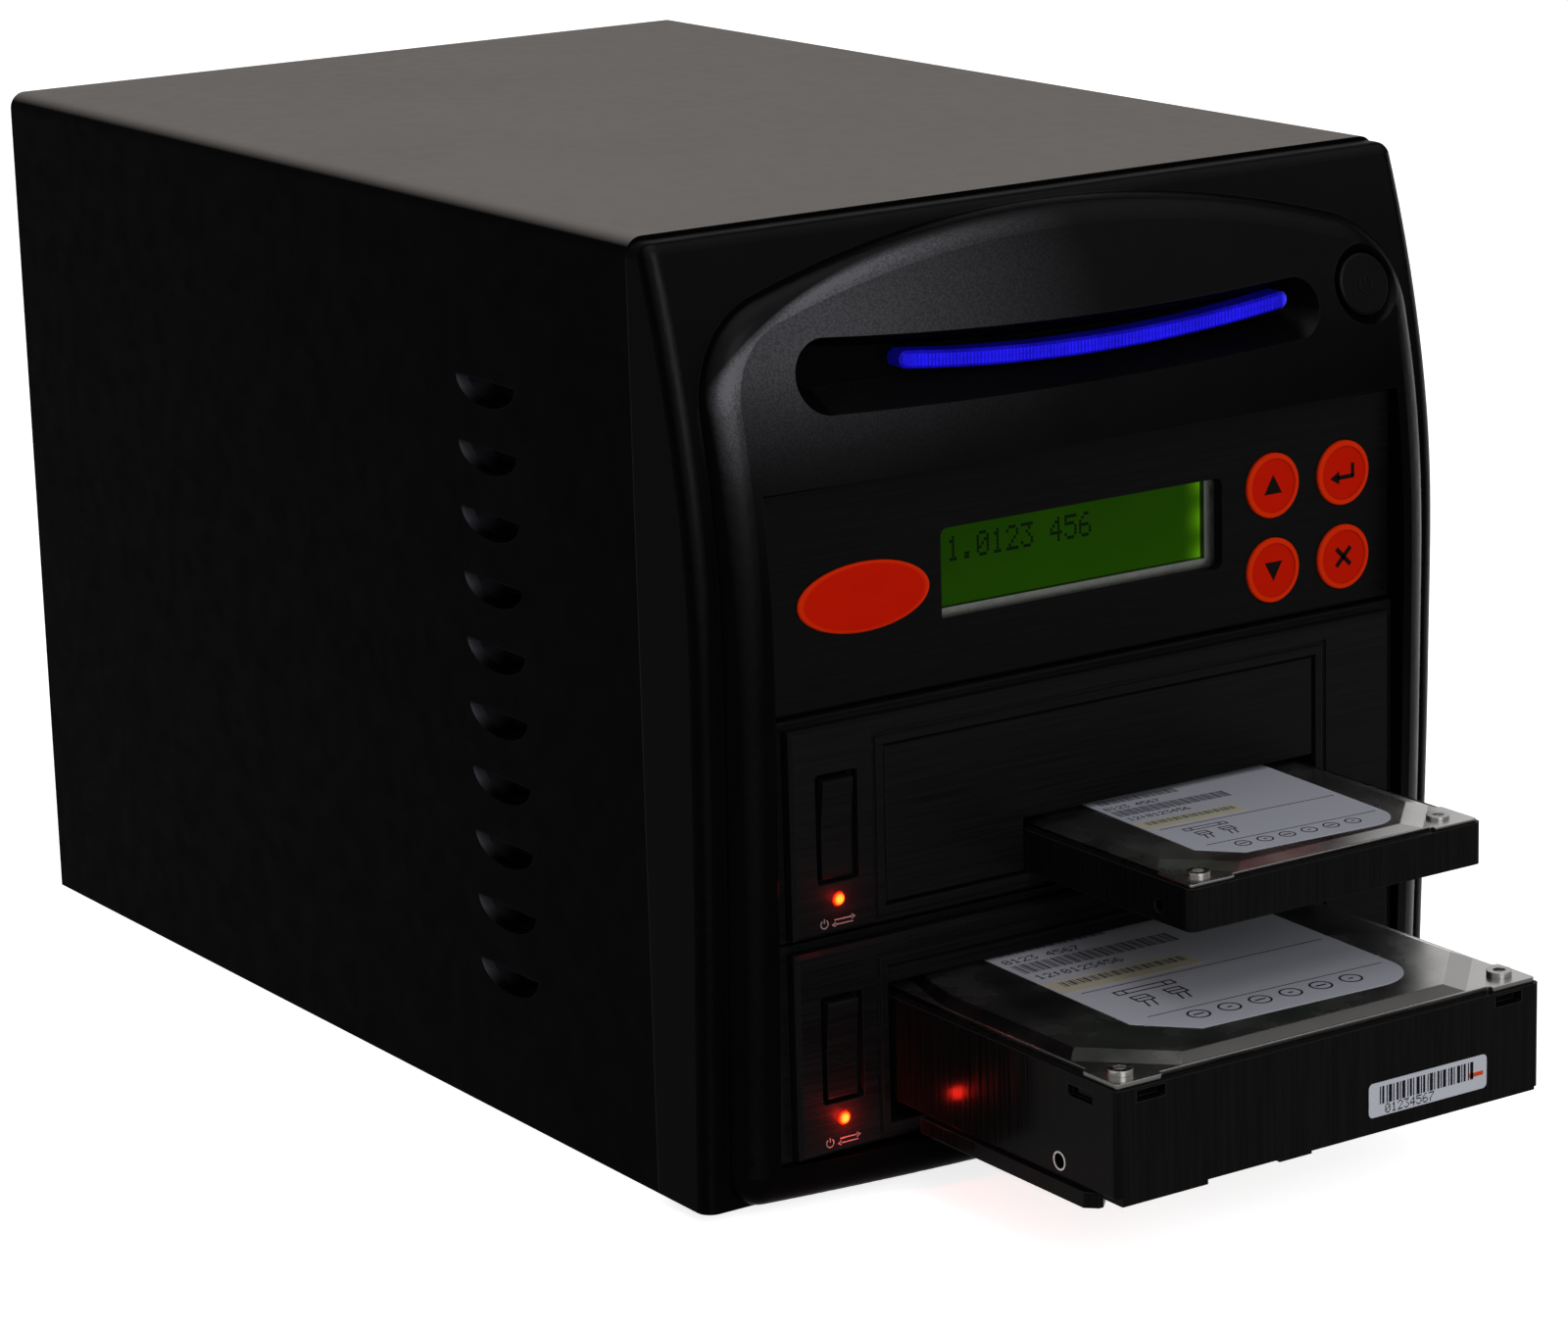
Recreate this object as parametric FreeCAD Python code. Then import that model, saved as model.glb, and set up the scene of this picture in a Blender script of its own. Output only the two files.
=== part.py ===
"""Drive duplicator: a three-bay desktop tower with a control panel and two trayless drive racks.

All sizes are in millimetres. X runs to the right, Y to the back and Z up. The pieces are drawn
from the front edge of the cover (y = 0) and the underside of the case (z = 0). When a piece is
written it moves so that the origin lies under the middle of the whole, on the table.
"""
import FreeCAD, Part
import math
import os

V = FreeCAD.Vector

# ---- case ----
CASE_W = 175.0
CASE_H = 182.0
CASE_D = 254.0
SHEET = 1.0
BEND_R = 3.5
FOOT_H = 2.5
FOOT_R = 9.0
FOOT_INSET = 27.0
GAP = 0.3
FIT = 0.06

# ---- bays: three half-height 5.25 inch openings ----
BAY_W = 149.0
BAY_H = 42.67
BAY_Z = 8.3
BAYS = 3
RACK_W = 146.0
CAGE_D = 140.0

# ---- bezel moulding: the band's depths stand at even steps from its foot to its top ----
BEZEL_DROP = 0.7
BEZEL_WALL = 2.6
BEZEL_CORNER = 3.0
BAND_DEPTHS = (-16.5, -17.6, -18.8, -19.5, -19.3, -14.8, -6.0)
SHIELD_MARGIN = 5.0
SHIELD_SIDE_PROUD = 4.6
SHIELD_FOOT_BULGE = 6.8
SHIELD_TOP_BULGE = 1.6
SHIELD_TOP_DROP = 1.3
SHIELD_ARCH_RISE = 30.0
SHIELD_SHOULDER_R = 21.0
SHIELD_EDGE_R = 6.5
SHIELD_FOOT_R = 7.0
SHIELD_BACK_Y = -4.0
LIP_WALL = 2.4

# ---- light groove and power button: heights count from the top of the bays ----
GROOVE_LEFT = -64.3
GROOVE_RIGHT = 57.0
GROOVE_FLOOR_Y = -13.5
GROOVE_OPEN_Y = -26.0
GROOVE_LIFT = 18.5
GROOVE_TOP = 5.6
GROOVE_TOP_LEFT = 2.6
GROOVE_SAG = 1.4
GROOVE_FOOT = 6.9
PIPE_LEFT = -40.0
PIPE_RIGHT = 51.5
PIPE_LIFT = 19.5
PIPE_H = 3.3
PIPE_SAG = 2.7
PIPE_FRONT_Y = -17.5
PIPE_FOOT = 3.0
LAMP_PITCH = 18.0
BUTTON_X = 70.3
BUTTON_LIFT = 20.1
BUTTON_R = 6.1
BUTTON_TRAVEL = 2.5
BUTTON_FRONT_Y = -18.0
BUTTON_BACK_Y = -9.6
BUTTON_STEM_Y = -6.5
BUTTON_SLOPE = 16.0
BUTTON_DISH = 2.3

# ---- louvres pressed into the cover ----
LOUVRE_COUNT = 10
LOUVRE_PITCH = 13.0
LOUVRE_DROP = 34.0
LOUVRE_Y = 52.0
LOUVRE_W = 22.4
LOUVRE_H = 5.4
LOUVRE_DEPTH = 4.3

# ---- control panel ----
PANEL_Y = -20.8
PANEL_T = 2.5
WINDOW_W = 66.4
WINDOW_H = 17.8
WINDOW_X = -0.9
WINDOW_Z = 115.1
LCD_W = 63.6
LCD_H = 15.2
LCD_X = -1.9
LCD_Z = 115.7
KEY_R = 6.4
KEY_X = 53.4
KEY_Z = 112.3
KEY_DX = 17.6
KEY_DZ = 16.8
KEY_TRAVEL = 0.8
KEY_PROUD = 0.6
BADGE_X = -51.8
BADGE_Z = 114.0
BADGE_W = 29.4
BADGE_H = 13.2

# ---- racks ----
FACE_Y = -24.5
FLANGE_Y = -21.3
RACK_BACK_Y = -19.0
FACE_W = 142.5
FACE_H = 40.0
FACE_LIFT = 1.1
MOUTH_W = 103.2
MOUTH_H = 31.1
MOUTH_X = 0.8
MOUTH_LIFT = 4.4
FLAP_T = 2.2
FLAP_GAP = 0.4
FLAP_PIN_R = 0.8
FLAP_KNUCKLE_R = 1.6
ROCKER_INSET = 11.7
ROCKER_PIVOT_R = 2.2
ROCKER_LIFT = 21.6
ROCKER_W = 6.6
ROCKER_H = 19.1
ROCKER_TILT = 3.5
WELL_W = 9.4
WELL_H = 21.0
WELL_DEPTH = 2.0
LED_R = 1.5
LED_LIFT = 7.8
SEAT_Y = 121.0
TONGUE = 4.0
PLUG_X = 27.0
PLUG_W = 42.0
PLUG_LIFT = 4.2

# ---- drives: standard 3.5 inch and 2.5 inch ----
BIG_W = 101.6
BIG_D = 147.0
BIG_H = 26.1
BIG_OUT = 67.2
SMALL_W = 69.85
SMALL_D = 100.2
SMALL_H = 9.5
SMALL_OUT = 49.5
SMALL_GAP = 0.6
DRIVE_LIFT = 0.3
LID_INSET = 2.0
LID_TAB_INSET = 0.7
LID_TAB = 11.0
LID_SHORT = 14.0
LID_BEVEL = 3.0
LID_WAIST_Y = 52.0
LID_WAIST = 4.2
SCREW_INSET_X = 6.2
SCREW_INSET_Y = 5.6

# ---- power supply and fans ----
PSU_W = 81.5
PSU_HEADROOM = 2.3
PSU_D = 150.0
PSU_WALL = 0.8
PSU_FAN_SHARE = 0.94
PSU_FAN_T = 15.0
PSU_FAN_X = 20.0
INLET_X = -24.5
INLET_W = 26.0
INLET_H = 20.0
INLET_DEEP = 15.5
TOGGLE_X = -4.4
TOGGLE_W = 7.0
TOGGLE_H = 12.0
TOGGLE_TILT = 6.0
FAN = 80.0
FAN_T = 25.0
FAN_Z = 64.0
FAN_SCREW = 71.5 / 2
FAN_SCREW_R = 2.15
HUB_SHARE = 0.38
BLADES = 7
BLADE_GAP = 1.0
VENT_X = 66.0
VENT_Z = 30.0
VENT_W = 22.0
VENT_H = 3.0
VENT_PITCH = 7.0
VENT_COUNT = 12
REAR_PROUD = 2.4

# ---- values worked out from the sizes above ----
HALF_W = CASE_W / 2
BAY_TOP = BAY_Z + BAYS * BAY_H
BEZEL_TOP = CASE_H - BEZEL_DROP
SHIELD_HALF = HALF_W - SHIELD_MARGIN
GROOVE_Z = BAY_TOP + GROOVE_LIFT
PIPE_Z = BAY_TOP + PIPE_LIFT
BUTTON_Z = BAY_TOP + BUTTON_LIFT
LOUVRE_TOP_Z = CASE_H - LOUVRE_DROP
ROCKER_X = -RACK_W / 2 + ROCKER_INSET
REAR_Y = CASE_D - SHEET
BIG_FRONT = FACE_Y - BIG_OUT
SMALL_FRONT = FACE_Y - SMALL_OUT
MOUTH_LEFT = MOUTH_X - MOUTH_W / 2
MOUTH_RIGHT = MOUTH_X + MOUTH_W / 2
SMALL_X = MOUTH_RIGHT - SMALL_GAP - SMALL_W / 2
NOTCH_LEFT = SMALL_X - SMALL_W / 2 - SMALL_GAP
FLAP_PIVOT_Y = FACE_Y + FLAP_GAP + FLAP_T
FLAP_PIVOT_DROP = FLAP_KNUCKLE_R + GAP
SHELF_Z = BAY_TOP + 0.9
PSU_Z = SHELF_Z + SHEET
PSU_H = CASE_H - SHEET - PSU_HEADROOM - PSU_Z
PSU_FAN = PSU_H * PSU_FAN_SHARE
PSU_BACK = REAR_Y - SHEET
PSU_FRONT = PSU_BACK - PSU_D
Y_SHIFT = (-BIG_FRONT - (CASE_D + REAR_PROUD)) / 2
BOARD_T = 1.6
SCREW_R = 1.5
HEAD_R = 2.9
HEAD_T = 1.8


# ---------------------------------------------------------------- shared shapes
def bay_z(index):
    """Underside of a bay, counted from the bottom."""
    return BAY_Z + index * BAY_H


def box(x0, x1, y0, y1, z0, z1):
    """Box between two corners."""
    return Part.makeBox(x1 - x0, y1 - y0, z1 - z0, V(x0, y0, z0))


def plate(cx, cz, width, height, y0, y1):
    """Upright plate centred on (cx, cz)."""
    return box(cx - width / 2, cx + width / 2, y0, y1, cz - height / 2, cz + height / 2)


def rod(radius, y0, y1, x, z):
    """Round bar along Y."""
    return Part.makeCylinder(radius, y1 - y0, V(x, y0, z), V(0, 1, 0))


def bar(radius, x0, x1, y, z):
    """Round bar along X."""
    return Part.makeCylinder(radius, x1 - x0, V(x0, y, z), V(1, 0, 0))


def post(radius, z0, z1, x, y):
    """Round bar along Z."""
    return Part.makeCylinder(radius, z1 - z0, V(x, y, z0), V(0, 0, 1))


def cone(r0, r1, y0, y1, x, z):
    """Round taper along Y."""
    return Part.makeCone(r0, r1, y1 - y0, V(x, y0, z), V(0, 1, 0))


def slab(wire, y0, y1):
    """Front-view outline, drawn in XZ, as a solid between two depths."""
    face = Part.Face(wire)
    face.translate(V(0, y0, 0))
    return face.extrude(V(0, y1 - y0, 0))


def arc(a, b, c):
    """Edge through three points."""
    return Part.Arc(a, b, c).toShape()


def line(a, b):
    """Straight edge."""
    return Part.LineSegment(a, b).toShape()


def round_rect(cx, cz, width, height, radius, y=0.0):
    """Rounded rectangle in XZ at depth y."""
    dx = width / 2 - radius
    dz = height / 2 - radius
    bend = radius * math.sqrt(0.5)
    edges = []
    for sx, sz, first in ((1, 1, True), (-1, 1, False), (-1, -1, True), (1, -1, False)):
        side = V(cx + sx * (dx + radius), y, cz + sz * dz)
        middle = V(cx + sx * (dx + bend), y, cz + sz * (dz + bend))
        level = V(cx + sx * dx, y, cz + sz * (dz + radius))
        edges.append(arc(side, middle, level) if first else arc(level, middle, side))
    joined = []
    for index, edge in enumerate(edges):
        joined.append(edge)
        following = edges[(index + 1) % 4]
        joined.append(line(edge.lastVertex().Point, following.firstVertex().Point))
    return Part.Wire(Part.__sortEdges__(joined))


def rounded_box(cx, cz, width, height, radius, y0, y1):
    """Plate with rounded corners in the front view."""
    return slab(round_rect(cx, cz, width, height, radius), y0, y1)


def ellipse(cx, cz, width, height):
    """Lying ellipse in XZ."""
    curve = Part.Ellipse(V(0, 0, 0), width / 2, height / 2).toShape()
    wire = Part.Wire(curve)
    wire.rotate(V(0, 0, 0), V(1, 0, 0), 90)
    wire.translate(V(cx, 0, cz))
    return wire


def edges_where(shape, test):
    """Edges whose middle point passes a test."""
    return [edge for edge in shape.Edges if test(edge.BoundBox)]


def mirrored(shape):
    """Copy on the other side of the case."""
    return shape.mirror(V(0, 0, 0), V(1, 0, 0))


def ring_of(shape, count, x, z):
    """Copies turned about a Y axis through (x, z)."""
    copies = []
    for index in range(count):
        copy = shape.copy()
        copy.rotate(V(x, 0, z), V(0, 1, 0), 360.0 * index / count)
        copies.append(copy)
    return copies


def write(name, *solids):
    """Move a piece to the part's own frame and write it."""
    shape = solids[0] if len(solids) == 1 else Part.makeCompound(list(solids))
    shape = shape.removeSplitter() if len(shape.Solids) == 1 else shape
    shape = shape.copy()
    shape.translate(V(0, Y_SHIFT, FOOT_H))
    shape.exportStep("parts/" + name + ".step")


# ---------------------------------------------------------------- case
def louvre_dish(grow, start):
    """Dish under a louvre's slit on the right side: half ellipses that shrink towards its floor."""
    sections = []
    for inwards, share in ((start, 1.0), (LOUVRE_DEPTH * 0.5, 0.89), (LOUVRE_DEPTH, 0.58)):
        reach = LOUVRE_W / 2 * share + grow
        curve = Part.Ellipse(V(0, 0, 0), reach, LOUVRE_H * share + grow)
        half = Part.Arc(curve, math.pi, 2 * math.pi).toShape()
        wire = Part.Wire([half, line(V(reach, 0, 0), V(-reach, 0, 0))])
        wire.rotate(V(0, 0, 0), V(1, 1, 1), 120)
        deep = inwards + (grow if share < 0.6 else 0)
        wire.translate(V(HALF_W - deep, LOUVRE_Y, LOUVRE_TOP_Z))
        sections.append(wire)
    return Part.makeLoft(sections, True, True)


def down_the_side(shape):
    """Column of louvre copies."""
    copies = []
    for index in range(LOUVRE_COUNT):
        copy = shape.copy()
        copy.translate(V(0, 0, -index * LOUVRE_PITCH))
        copies.append(copy)
    return copies


def make_cover():
    """Folded steel cover: top and two sides, with a column of scooped louvres on each side."""
    outer = box(-HALF_W, HALF_W, 0, CASE_D, 0, CASE_H)
    bends = edges_where(outer, lambda b: b.YLength > CASE_D - 1 and b.ZMin > CASE_H - 1)
    outer = outer.makeFillet(BEND_R, bends)
    inner = box(-HALF_W + SHEET, HALF_W - SHEET, -1, CASE_D + 1, -1, CASE_H - SHEET)
    bends = edges_where(inner, lambda b: b.YLength > CASE_D and b.ZMin > CASE_H - SHEET - 1)
    inner = inner.makeFillet(BEND_R - SHEET, bends)
    cover = outer.cut(inner)
    dents = down_the_side(louvre_dish(0, -SHEET))
    scoops = down_the_side(louvre_dish(SHEET, SHEET / 2))
    cover = cover.fuse(scoops + [mirrored(scoop) for scoop in scoops])
    return cover.cut(dents + [mirrored(dent) for dent in dents])


def make_base_pan():
    """Bottom sheet with upturned side flanges that the cover screws to."""
    half = HALF_W - SHEET - GAP
    floor = box(-half, half, SHEET + 0.6, REAR_Y - SHEET, 0, SHEET)
    flanges = [box(s * half - (SHEET if s > 0 else 0), s * half + (0 if s > 0 else SHEET),
                   SHEET + 0.6, REAR_Y - SHEET, SHEET, 12) for s in (-1, 1)]
    return floor.fuse(flanges)


def upright_sheet(y0, z0):
    """Steel sheet across the case, with its top corners rounded to clear the cover's bends."""
    half = HALF_W - SHEET - GAP
    sheet = box(-half, half, y0, y0 + SHEET, z0, CASE_H - SHEET - GAP)
    corners = edges_where(sheet, lambda b: b.ZMin > z0 + 1 and b.YLength > SHEET - 0.1 and b.XLength < 0.1)
    return sheet.makeFillet(BEND_R - SHEET, corners)


def make_front_bulkhead():
    """Steel front sheet that the bezel clips to, open at the three bays."""
    sheet = upright_sheet(0.6, SHEET)
    bays = box(-RACK_W / 2 - GAP, RACK_W / 2 + GAP, 0, 3, BAY_Z, BAY_TOP)
    wiring = rounded_box(0, GROOVE_Z, 60, 8, 3, 0, 3)
    return sheet.cut(bays).cut(wiring)


def make_rear_panel():
    """Steel rear sheet with the fan hole, the power supply window and a vent field."""
    sheet = upright_sheet(REAR_Y - SHEET, 0)
    window = box(-PSU_W / 2 + 1.5, PSU_W / 2 - 1.5, CASE_D - 5, CASE_D + 1, PSU_Z + 1.5, PSU_Z + PSU_H - 1.5)
    sheet = sheet.cut(window).cut(rod(FAN / 2 - 2, CASE_D - 5, CASE_D + 1, 0, FAN_Z))
    hole = rod(FAN_SCREW_R, CASE_D - 5, CASE_D + 1, FAN_SCREW, FAN_Z + FAN_SCREW)
    slot = plate(VENT_X, VENT_Z, VENT_W, VENT_H, CASE_D - 5, CASE_D + 1)
    slots = []
    for index in range(VENT_COUNT):
        for side in (-1, 1):
            copy = slot.copy() if side > 0 else mirrored(slot)
            copy.translate(V(0, 0, index * VENT_PITCH))
            slots.append(copy)
    return sheet.cut(ring_of(hole, 4, 0, FAN_Z)).cut(slots)


def make_bay_cage():
    """Folded steel cage round the three bays; its top is the power supply's shelf."""
    inside = RACK_W / 2 + GAP
    front = SHEET + 0.6
    sides = [box(min(s * inside, s * (inside + SHEET)), max(s * inside, s * (inside + SHEET)),
                 front, CAGE_D, SHEET, SHELF_Z) for s in (-1, 1)]
    shelf = box(-inside - SHEET, inside + SHEET, front, REAR_Y - SHEET, SHELF_Z, SHELF_Z + SHEET)
    return shelf.fuse(sides)


def make_feet():
    """Four round rubber feet, chamfered at the table."""
    feet = []
    for x in (-HALF_W + FOOT_INSET, HALF_W - FOOT_INSET):
        for y in (FOOT_INSET, CASE_D - FOOT_INSET):
            foot = post(FOOT_R, -FOOT_H, 0, x, y)
            rim = edges_where(foot, lambda b: b.ZMax < -FOOT_H + 0.1)
            feet.append(foot.makeChamfer(0.8, rim))
    return feet


def hexagon_bar(radius, y0, y1, x, z):
    """Six-sided bar along Y."""
    corners = [V(x + radius * math.cos(math.pi * step / 3), y0, z + radius * math.sin(math.pi * step / 3))
               for step in range(7)]
    return Part.Face(Part.makePolygon(corners)).extrude(V(0, y1 - y0, 0))


def screw_y(x, y, z, shank):
    """Hexagon-head screw along Y, head towards the back."""
    return hexagon_bar(HEAD_R, y, y + HEAD_T, x, z).fuse(rod(SCREW_R, y - shank, y, x, z))


# ---------------------------------------------------------------- bezel
def band_stations():
    """Height and depth of the band's profile points, foot to top."""
    last = len(BAND_DEPTHS) - 1
    return [(BEZEL_TOP * index / last, depth) for index, depth in enumerate(BAND_DEPTHS)]


def band_curve():
    """Side profile of the bezel's outer band."""
    curve = Part.BSplineCurve()
    curve.interpolate([V(0, depth, z) for z, depth in band_stations()])
    return curve.toShape()


def make_band():
    """Outer band: the side profile drawn across the whole width, with rounded front corners."""
    closing = Part.makePolygon([V(0, BAND_DEPTHS[0], 0), V(0, 0, 0), V(0, 0, BEZEL_TOP),
                                V(0, BAND_DEPTHS[-1], BEZEL_TOP)])
    profile = Part.Face(Part.Wire([band_curve()] + closing.Edges))
    profile.translate(V(-HALF_W, 0, 0))
    band = profile.extrude(V(CASE_W, 0, 0))
    corners = edges_where(band, lambda b: b.XLength < 0.1 and b.YMax < -1 and b.ZLength > BEZEL_TOP / 2)
    corners += edges_where(band, lambda b: b.XLength > CASE_W - 1 and b.YMax < -1 and b.ZMin > BEZEL_TOP - 1)
    corners += edges_where(band, lambda b: b.XLength < 0.1 and b.YLength > 5 and b.ZMin > BEZEL_TOP - 1)
    return band.makeFillet(BEZEL_CORNER, corners)


def shield_section(z, band_y):
    """Plan section of the shield: a convex arc in front, straight behind."""
    bulge = SHIELD_FOOT_BULGE - (SHIELD_FOOT_BULGE - SHIELD_TOP_BULGE) * z / BEZEL_TOP
    edge_y = band_y - SHIELD_SIDE_PROUD
    left = V(-SHIELD_HALF - 1, edge_y, z)
    right = V(SHIELD_HALF + 1, edge_y, z)
    closing = Part.makePolygon([right, V(right.x, SHIELD_BACK_Y, z), V(left.x, SHIELD_BACK_Y, z), left])
    return Part.Wire([arc(left, V(0, edge_y - bulge, z), right)] + closing.Edges)


def shield_outline():
    """Front outline of the shield: a three-centred arch on straight sides with rounded feet."""
    half = SHIELD_HALF
    crown = BEZEL_TOP - SHIELD_TOP_DROP
    spring = crown - SHIELD_ARCH_RISE
    shoulder = SHIELD_SHOULDER_R
    centre_x = half - shoulder
    rise = SHIELD_ARCH_RISE
    crown_r = (centre_x ** 2 + rise ** 2 - shoulder ** 2) / (2 * (rise - shoulder))
    turn = math.atan2(spring - (crown - crown_r), centre_x)
    meet = V(centre_x + shoulder * math.cos(turn), 0, spring + shoulder * math.sin(turn))
    bend = V(centre_x + shoulder * math.cos(turn / 2), 0, spring + shoulder * math.sin(turn / 2))
    toe = SHIELD_FOOT_R
    dip = toe * (1 - math.sqrt(0.5))
    right = [arc(V(half - toe, 0, 0), V(half - dip, 0, dip), V(half, 0, toe)),
             line(V(half, 0, toe), V(half, 0, spring)),
             arc(V(half, 0, spring), bend, meet)]
    left = [mirrored(edge) for edge in right]
    top = arc(meet, V(0, 0, crown), V(-meet.x, 0, meet.z))
    foot = line(V(-half + toe, 0, 0), V(half - toe, 0, 0))
    return Part.Wire(Part.__sortEdges__([foot, top] + right + left))


def make_shield():
    """Raised centre of the bezel: two pillars under a broad arch, softly rounded in front."""
    body = Part.makeLoft([shield_section(z, depth) for z, depth in band_stations()], True, False)
    shield = body.common(slab(shield_outline(), -60, SHIELD_BACK_Y))
    front = edges_where(shield, lambda b: b.YMax < SHIELD_BACK_Y - 1 and b.ZMax > 1)
    return shield.makeFillet(SHIELD_EDGE_R, front)


def groove_outline(top_grow, foot_grow, end_grow, y):
    """Smiling recess outline at depth y, higher at its left end."""
    left = GROOVE_LEFT - end_grow
    right = GROOVE_RIGHT + end_grow
    top = GROOVE_Z + GROOVE_TOP + top_grow
    top_left = top + GROOVE_TOP_LEFT
    foot = GROOVE_Z - GROOVE_FOOT - foot_grow
    turn_left = (top_left - foot) / 2
    turn_right = (top - foot) / 2
    middle = (left + right) / 2
    a = V(left + turn_left, y, top_left)
    b = V(right - turn_right, y, top)
    c = V(right - turn_right, y, foot)
    d = V(left + turn_left, y, foot)
    upper = arc(a, V(middle, y, top - GROOVE_SAG), b)
    round_right = arc(b, V(right, y, foot + turn_right), c)
    lower = arc(c, V(middle, y, foot - 0.5), d)
    round_left = arc(d, V(left, y, foot + turn_left), a)
    return Part.Wire([upper, round_right, lower, round_left])


def make_groove():
    """Recess cutter: a sloping lower wall, a steeper upper one, round ends and a narrow floor."""
    mouth_outline = groove_outline(4.0, 1.6, 3.5, GROOVE_OPEN_Y)
    floor_outline = groove_outline(-2.8, -4.6, -3.0, GROOVE_FLOOR_Y)
    return Part.makeLoft([mouth_outline, floor_outline], True, True)


def pipe_outline(grow):
    """Strip of even width along a hanging bow, with round ends, in XZ."""
    half = PIPE_H / 2 + grow
    reach = (PIPE_RIGHT - PIPE_LEFT - PIPE_H) / 2
    bow_r = (reach ** 2 + PIPE_SAG ** 2) / (2 * PIPE_SAG)
    centre = V((PIPE_LEFT + PIPE_RIGHT) / 2, 0, PIPE_Z - PIPE_SAG + bow_r)
    turn = math.asin(reach / bow_r)
    edges = []
    for radius in (bow_r - half, bow_r + half):
        side = V(radius * math.sin(turn), 0, -radius * math.cos(turn))
        edges.append(arc(centre + V(-side.x, 0, side.z), centre + V(0, 0, -radius), centre + side))
    for sign in (-1, 1):
        inner, outer = [edge.Vertexes[-1 if sign > 0 else 0].Point for edge in edges[:2]]
        tip = (inner + outer) / 2 + V(sign * half * math.cos(turn), 0, half * math.sin(turn))
        edges.append(arc(inner, tip, outer))
    return Part.Wire(Part.__sortEdges__(edges))


def make_bezel():
    """One hollow moulding: band, shield, bay frame, groove, light slot and button well."""
    outer = make_band().fuse(make_shield())
    side = HALF_W - BEZEL_WALL
    ceiling = BEZEL_TOP - BEZEL_WALL
    room = box(-side, side, -60, 1, BEZEL_WALL, ceiling)
    hollow = outer.copy()
    hollow.translate(V(0, BEZEL_WALL, 0))
    hollow = hollow.common(room)
    hollow = hollow.fuse(box(-side, side, SHIELD_BACK_Y + 0.1, 1, BEZEL_WALL, ceiling))
    bay_mid = (BAY_Z + BAY_TOP) / 2
    frame = plate(0, bay_mid, BAY_W + 2 * LIP_WALL, BAYS * BAY_H + 2 * LIP_WALL, -60, -2)
    recess = slab(groove_outline(BEZEL_WALL, BEZEL_WALL, BEZEL_WALL, 0), -60, GROOVE_FLOOR_Y + BEZEL_WALL)
    collar = rod(BUTTON_R + GAP + 2, -60, -7, BUTTON_X, BUTTON_Z)
    hollow = hollow.cut([frame, recess, collar])
    bezel = outer.cut(hollow).cut(plate(0, bay_mid, BAY_W, BAYS * BAY_H, -60, 2))
    bezel = bezel.cut(make_groove())
    bezel = bezel.cut(slab(pipe_outline(GAP / 2), GROOVE_FLOOR_Y - 3, 1))
    dish = cone(BUTTON_R + 2 * BUTTON_DISH, BUTTON_R + GAP, BUTTON_FRONT_Y - 4, BUTTON_FRONT_Y + 1.5,
                BUTTON_X, BUTTON_Z)
    dish.rotate(V(BUTTON_X, BUTTON_FRONT_Y, BUTTON_Z), V(1, 0, 0), -BUTTON_SLOPE)
    return bezel.cut(dish).cut(rod(BUTTON_R + GAP, -60, 1, BUTTON_X, BUTTON_Z))


def make_light_pipe():
    """Clear strip that stands in the groove, with a foot that reaches the lamps."""
    strip = slab(pipe_outline(0), PIPE_FRONT_Y, GROOVE_FLOOR_Y + BEZEL_WALL + PIPE_FOOT)
    front = edges_where(strip, lambda b: b.YMax < PIPE_FRONT_Y + 0.05)
    return strip.makeChamfer(0.5, front)


def make_light_board():
    """Narrow board behind the light pipe with a row of lamps along its bow."""
    back = -0.4
    front = back - BOARD_T
    middle = (PIPE_LEFT + PIPE_RIGHT) / 2
    half = (PIPE_RIGHT - PIPE_LEFT) / 2
    board = plate(middle, PIPE_Z - 1, 2 * half, 10, front, back)
    pipe_end = GROOVE_FLOOR_Y + BEZEL_WALL + PIPE_FOOT
    lamps = []
    for step in (-2, -1, 0, 1, 2):
        out = step * LAMP_PITCH
        lift = PIPE_SAG * (1 - (out / half) ** 2)
        lamps.append(plate(middle + out, PIPE_Z - lift, 5, 3, pipe_end + 0.2, front))
    return board.fuse(lamps)


def make_power_button():
    """Round button cut to the slope of the brow, with a softened rim and a stem."""
    cap = rod(BUTTON_R, BUTTON_FRONT_Y - 8, BUTTON_BACK_Y, BUTTON_X, BUTTON_Z)
    waste = box(BUTTON_X - 20, BUTTON_X + 20, BUTTON_FRONT_Y - 30, BUTTON_FRONT_Y, BUTTON_Z - 25, BUTTON_Z + 25)
    waste.rotate(V(BUTTON_X, BUTTON_FRONT_Y, BUTTON_Z), V(1, 0, 0), -BUTTON_SLOPE)
    cap = cap.cut(waste)
    rim = edges_where(cap, lambda b: b.YMin < BUTTON_FRONT_Y - 1 and b.YMax < BUTTON_BACK_Y - 1 and b.YLength > 1
                      and b.XLength > BUTTON_R)
    cap = cap.makeFillet(0.7, rim)
    return cap.fuse(rod(3, BUTTON_BACK_Y, BUTTON_STEM_Y, BUTTON_X, BUTTON_Z))


def make_power_switch():
    """Push switch on the bulkhead behind the button."""
    tip = BUTTON_STEM_Y + BUTTON_TRAVEL + 0.4
    body = plate(BUTTON_X, BUTTON_Z, 12, 12, tip + 1.2, 0.6)
    return body.fuse(rod(2, tip, tip + 1.2, BUTTON_X, BUTTON_Z))


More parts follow.
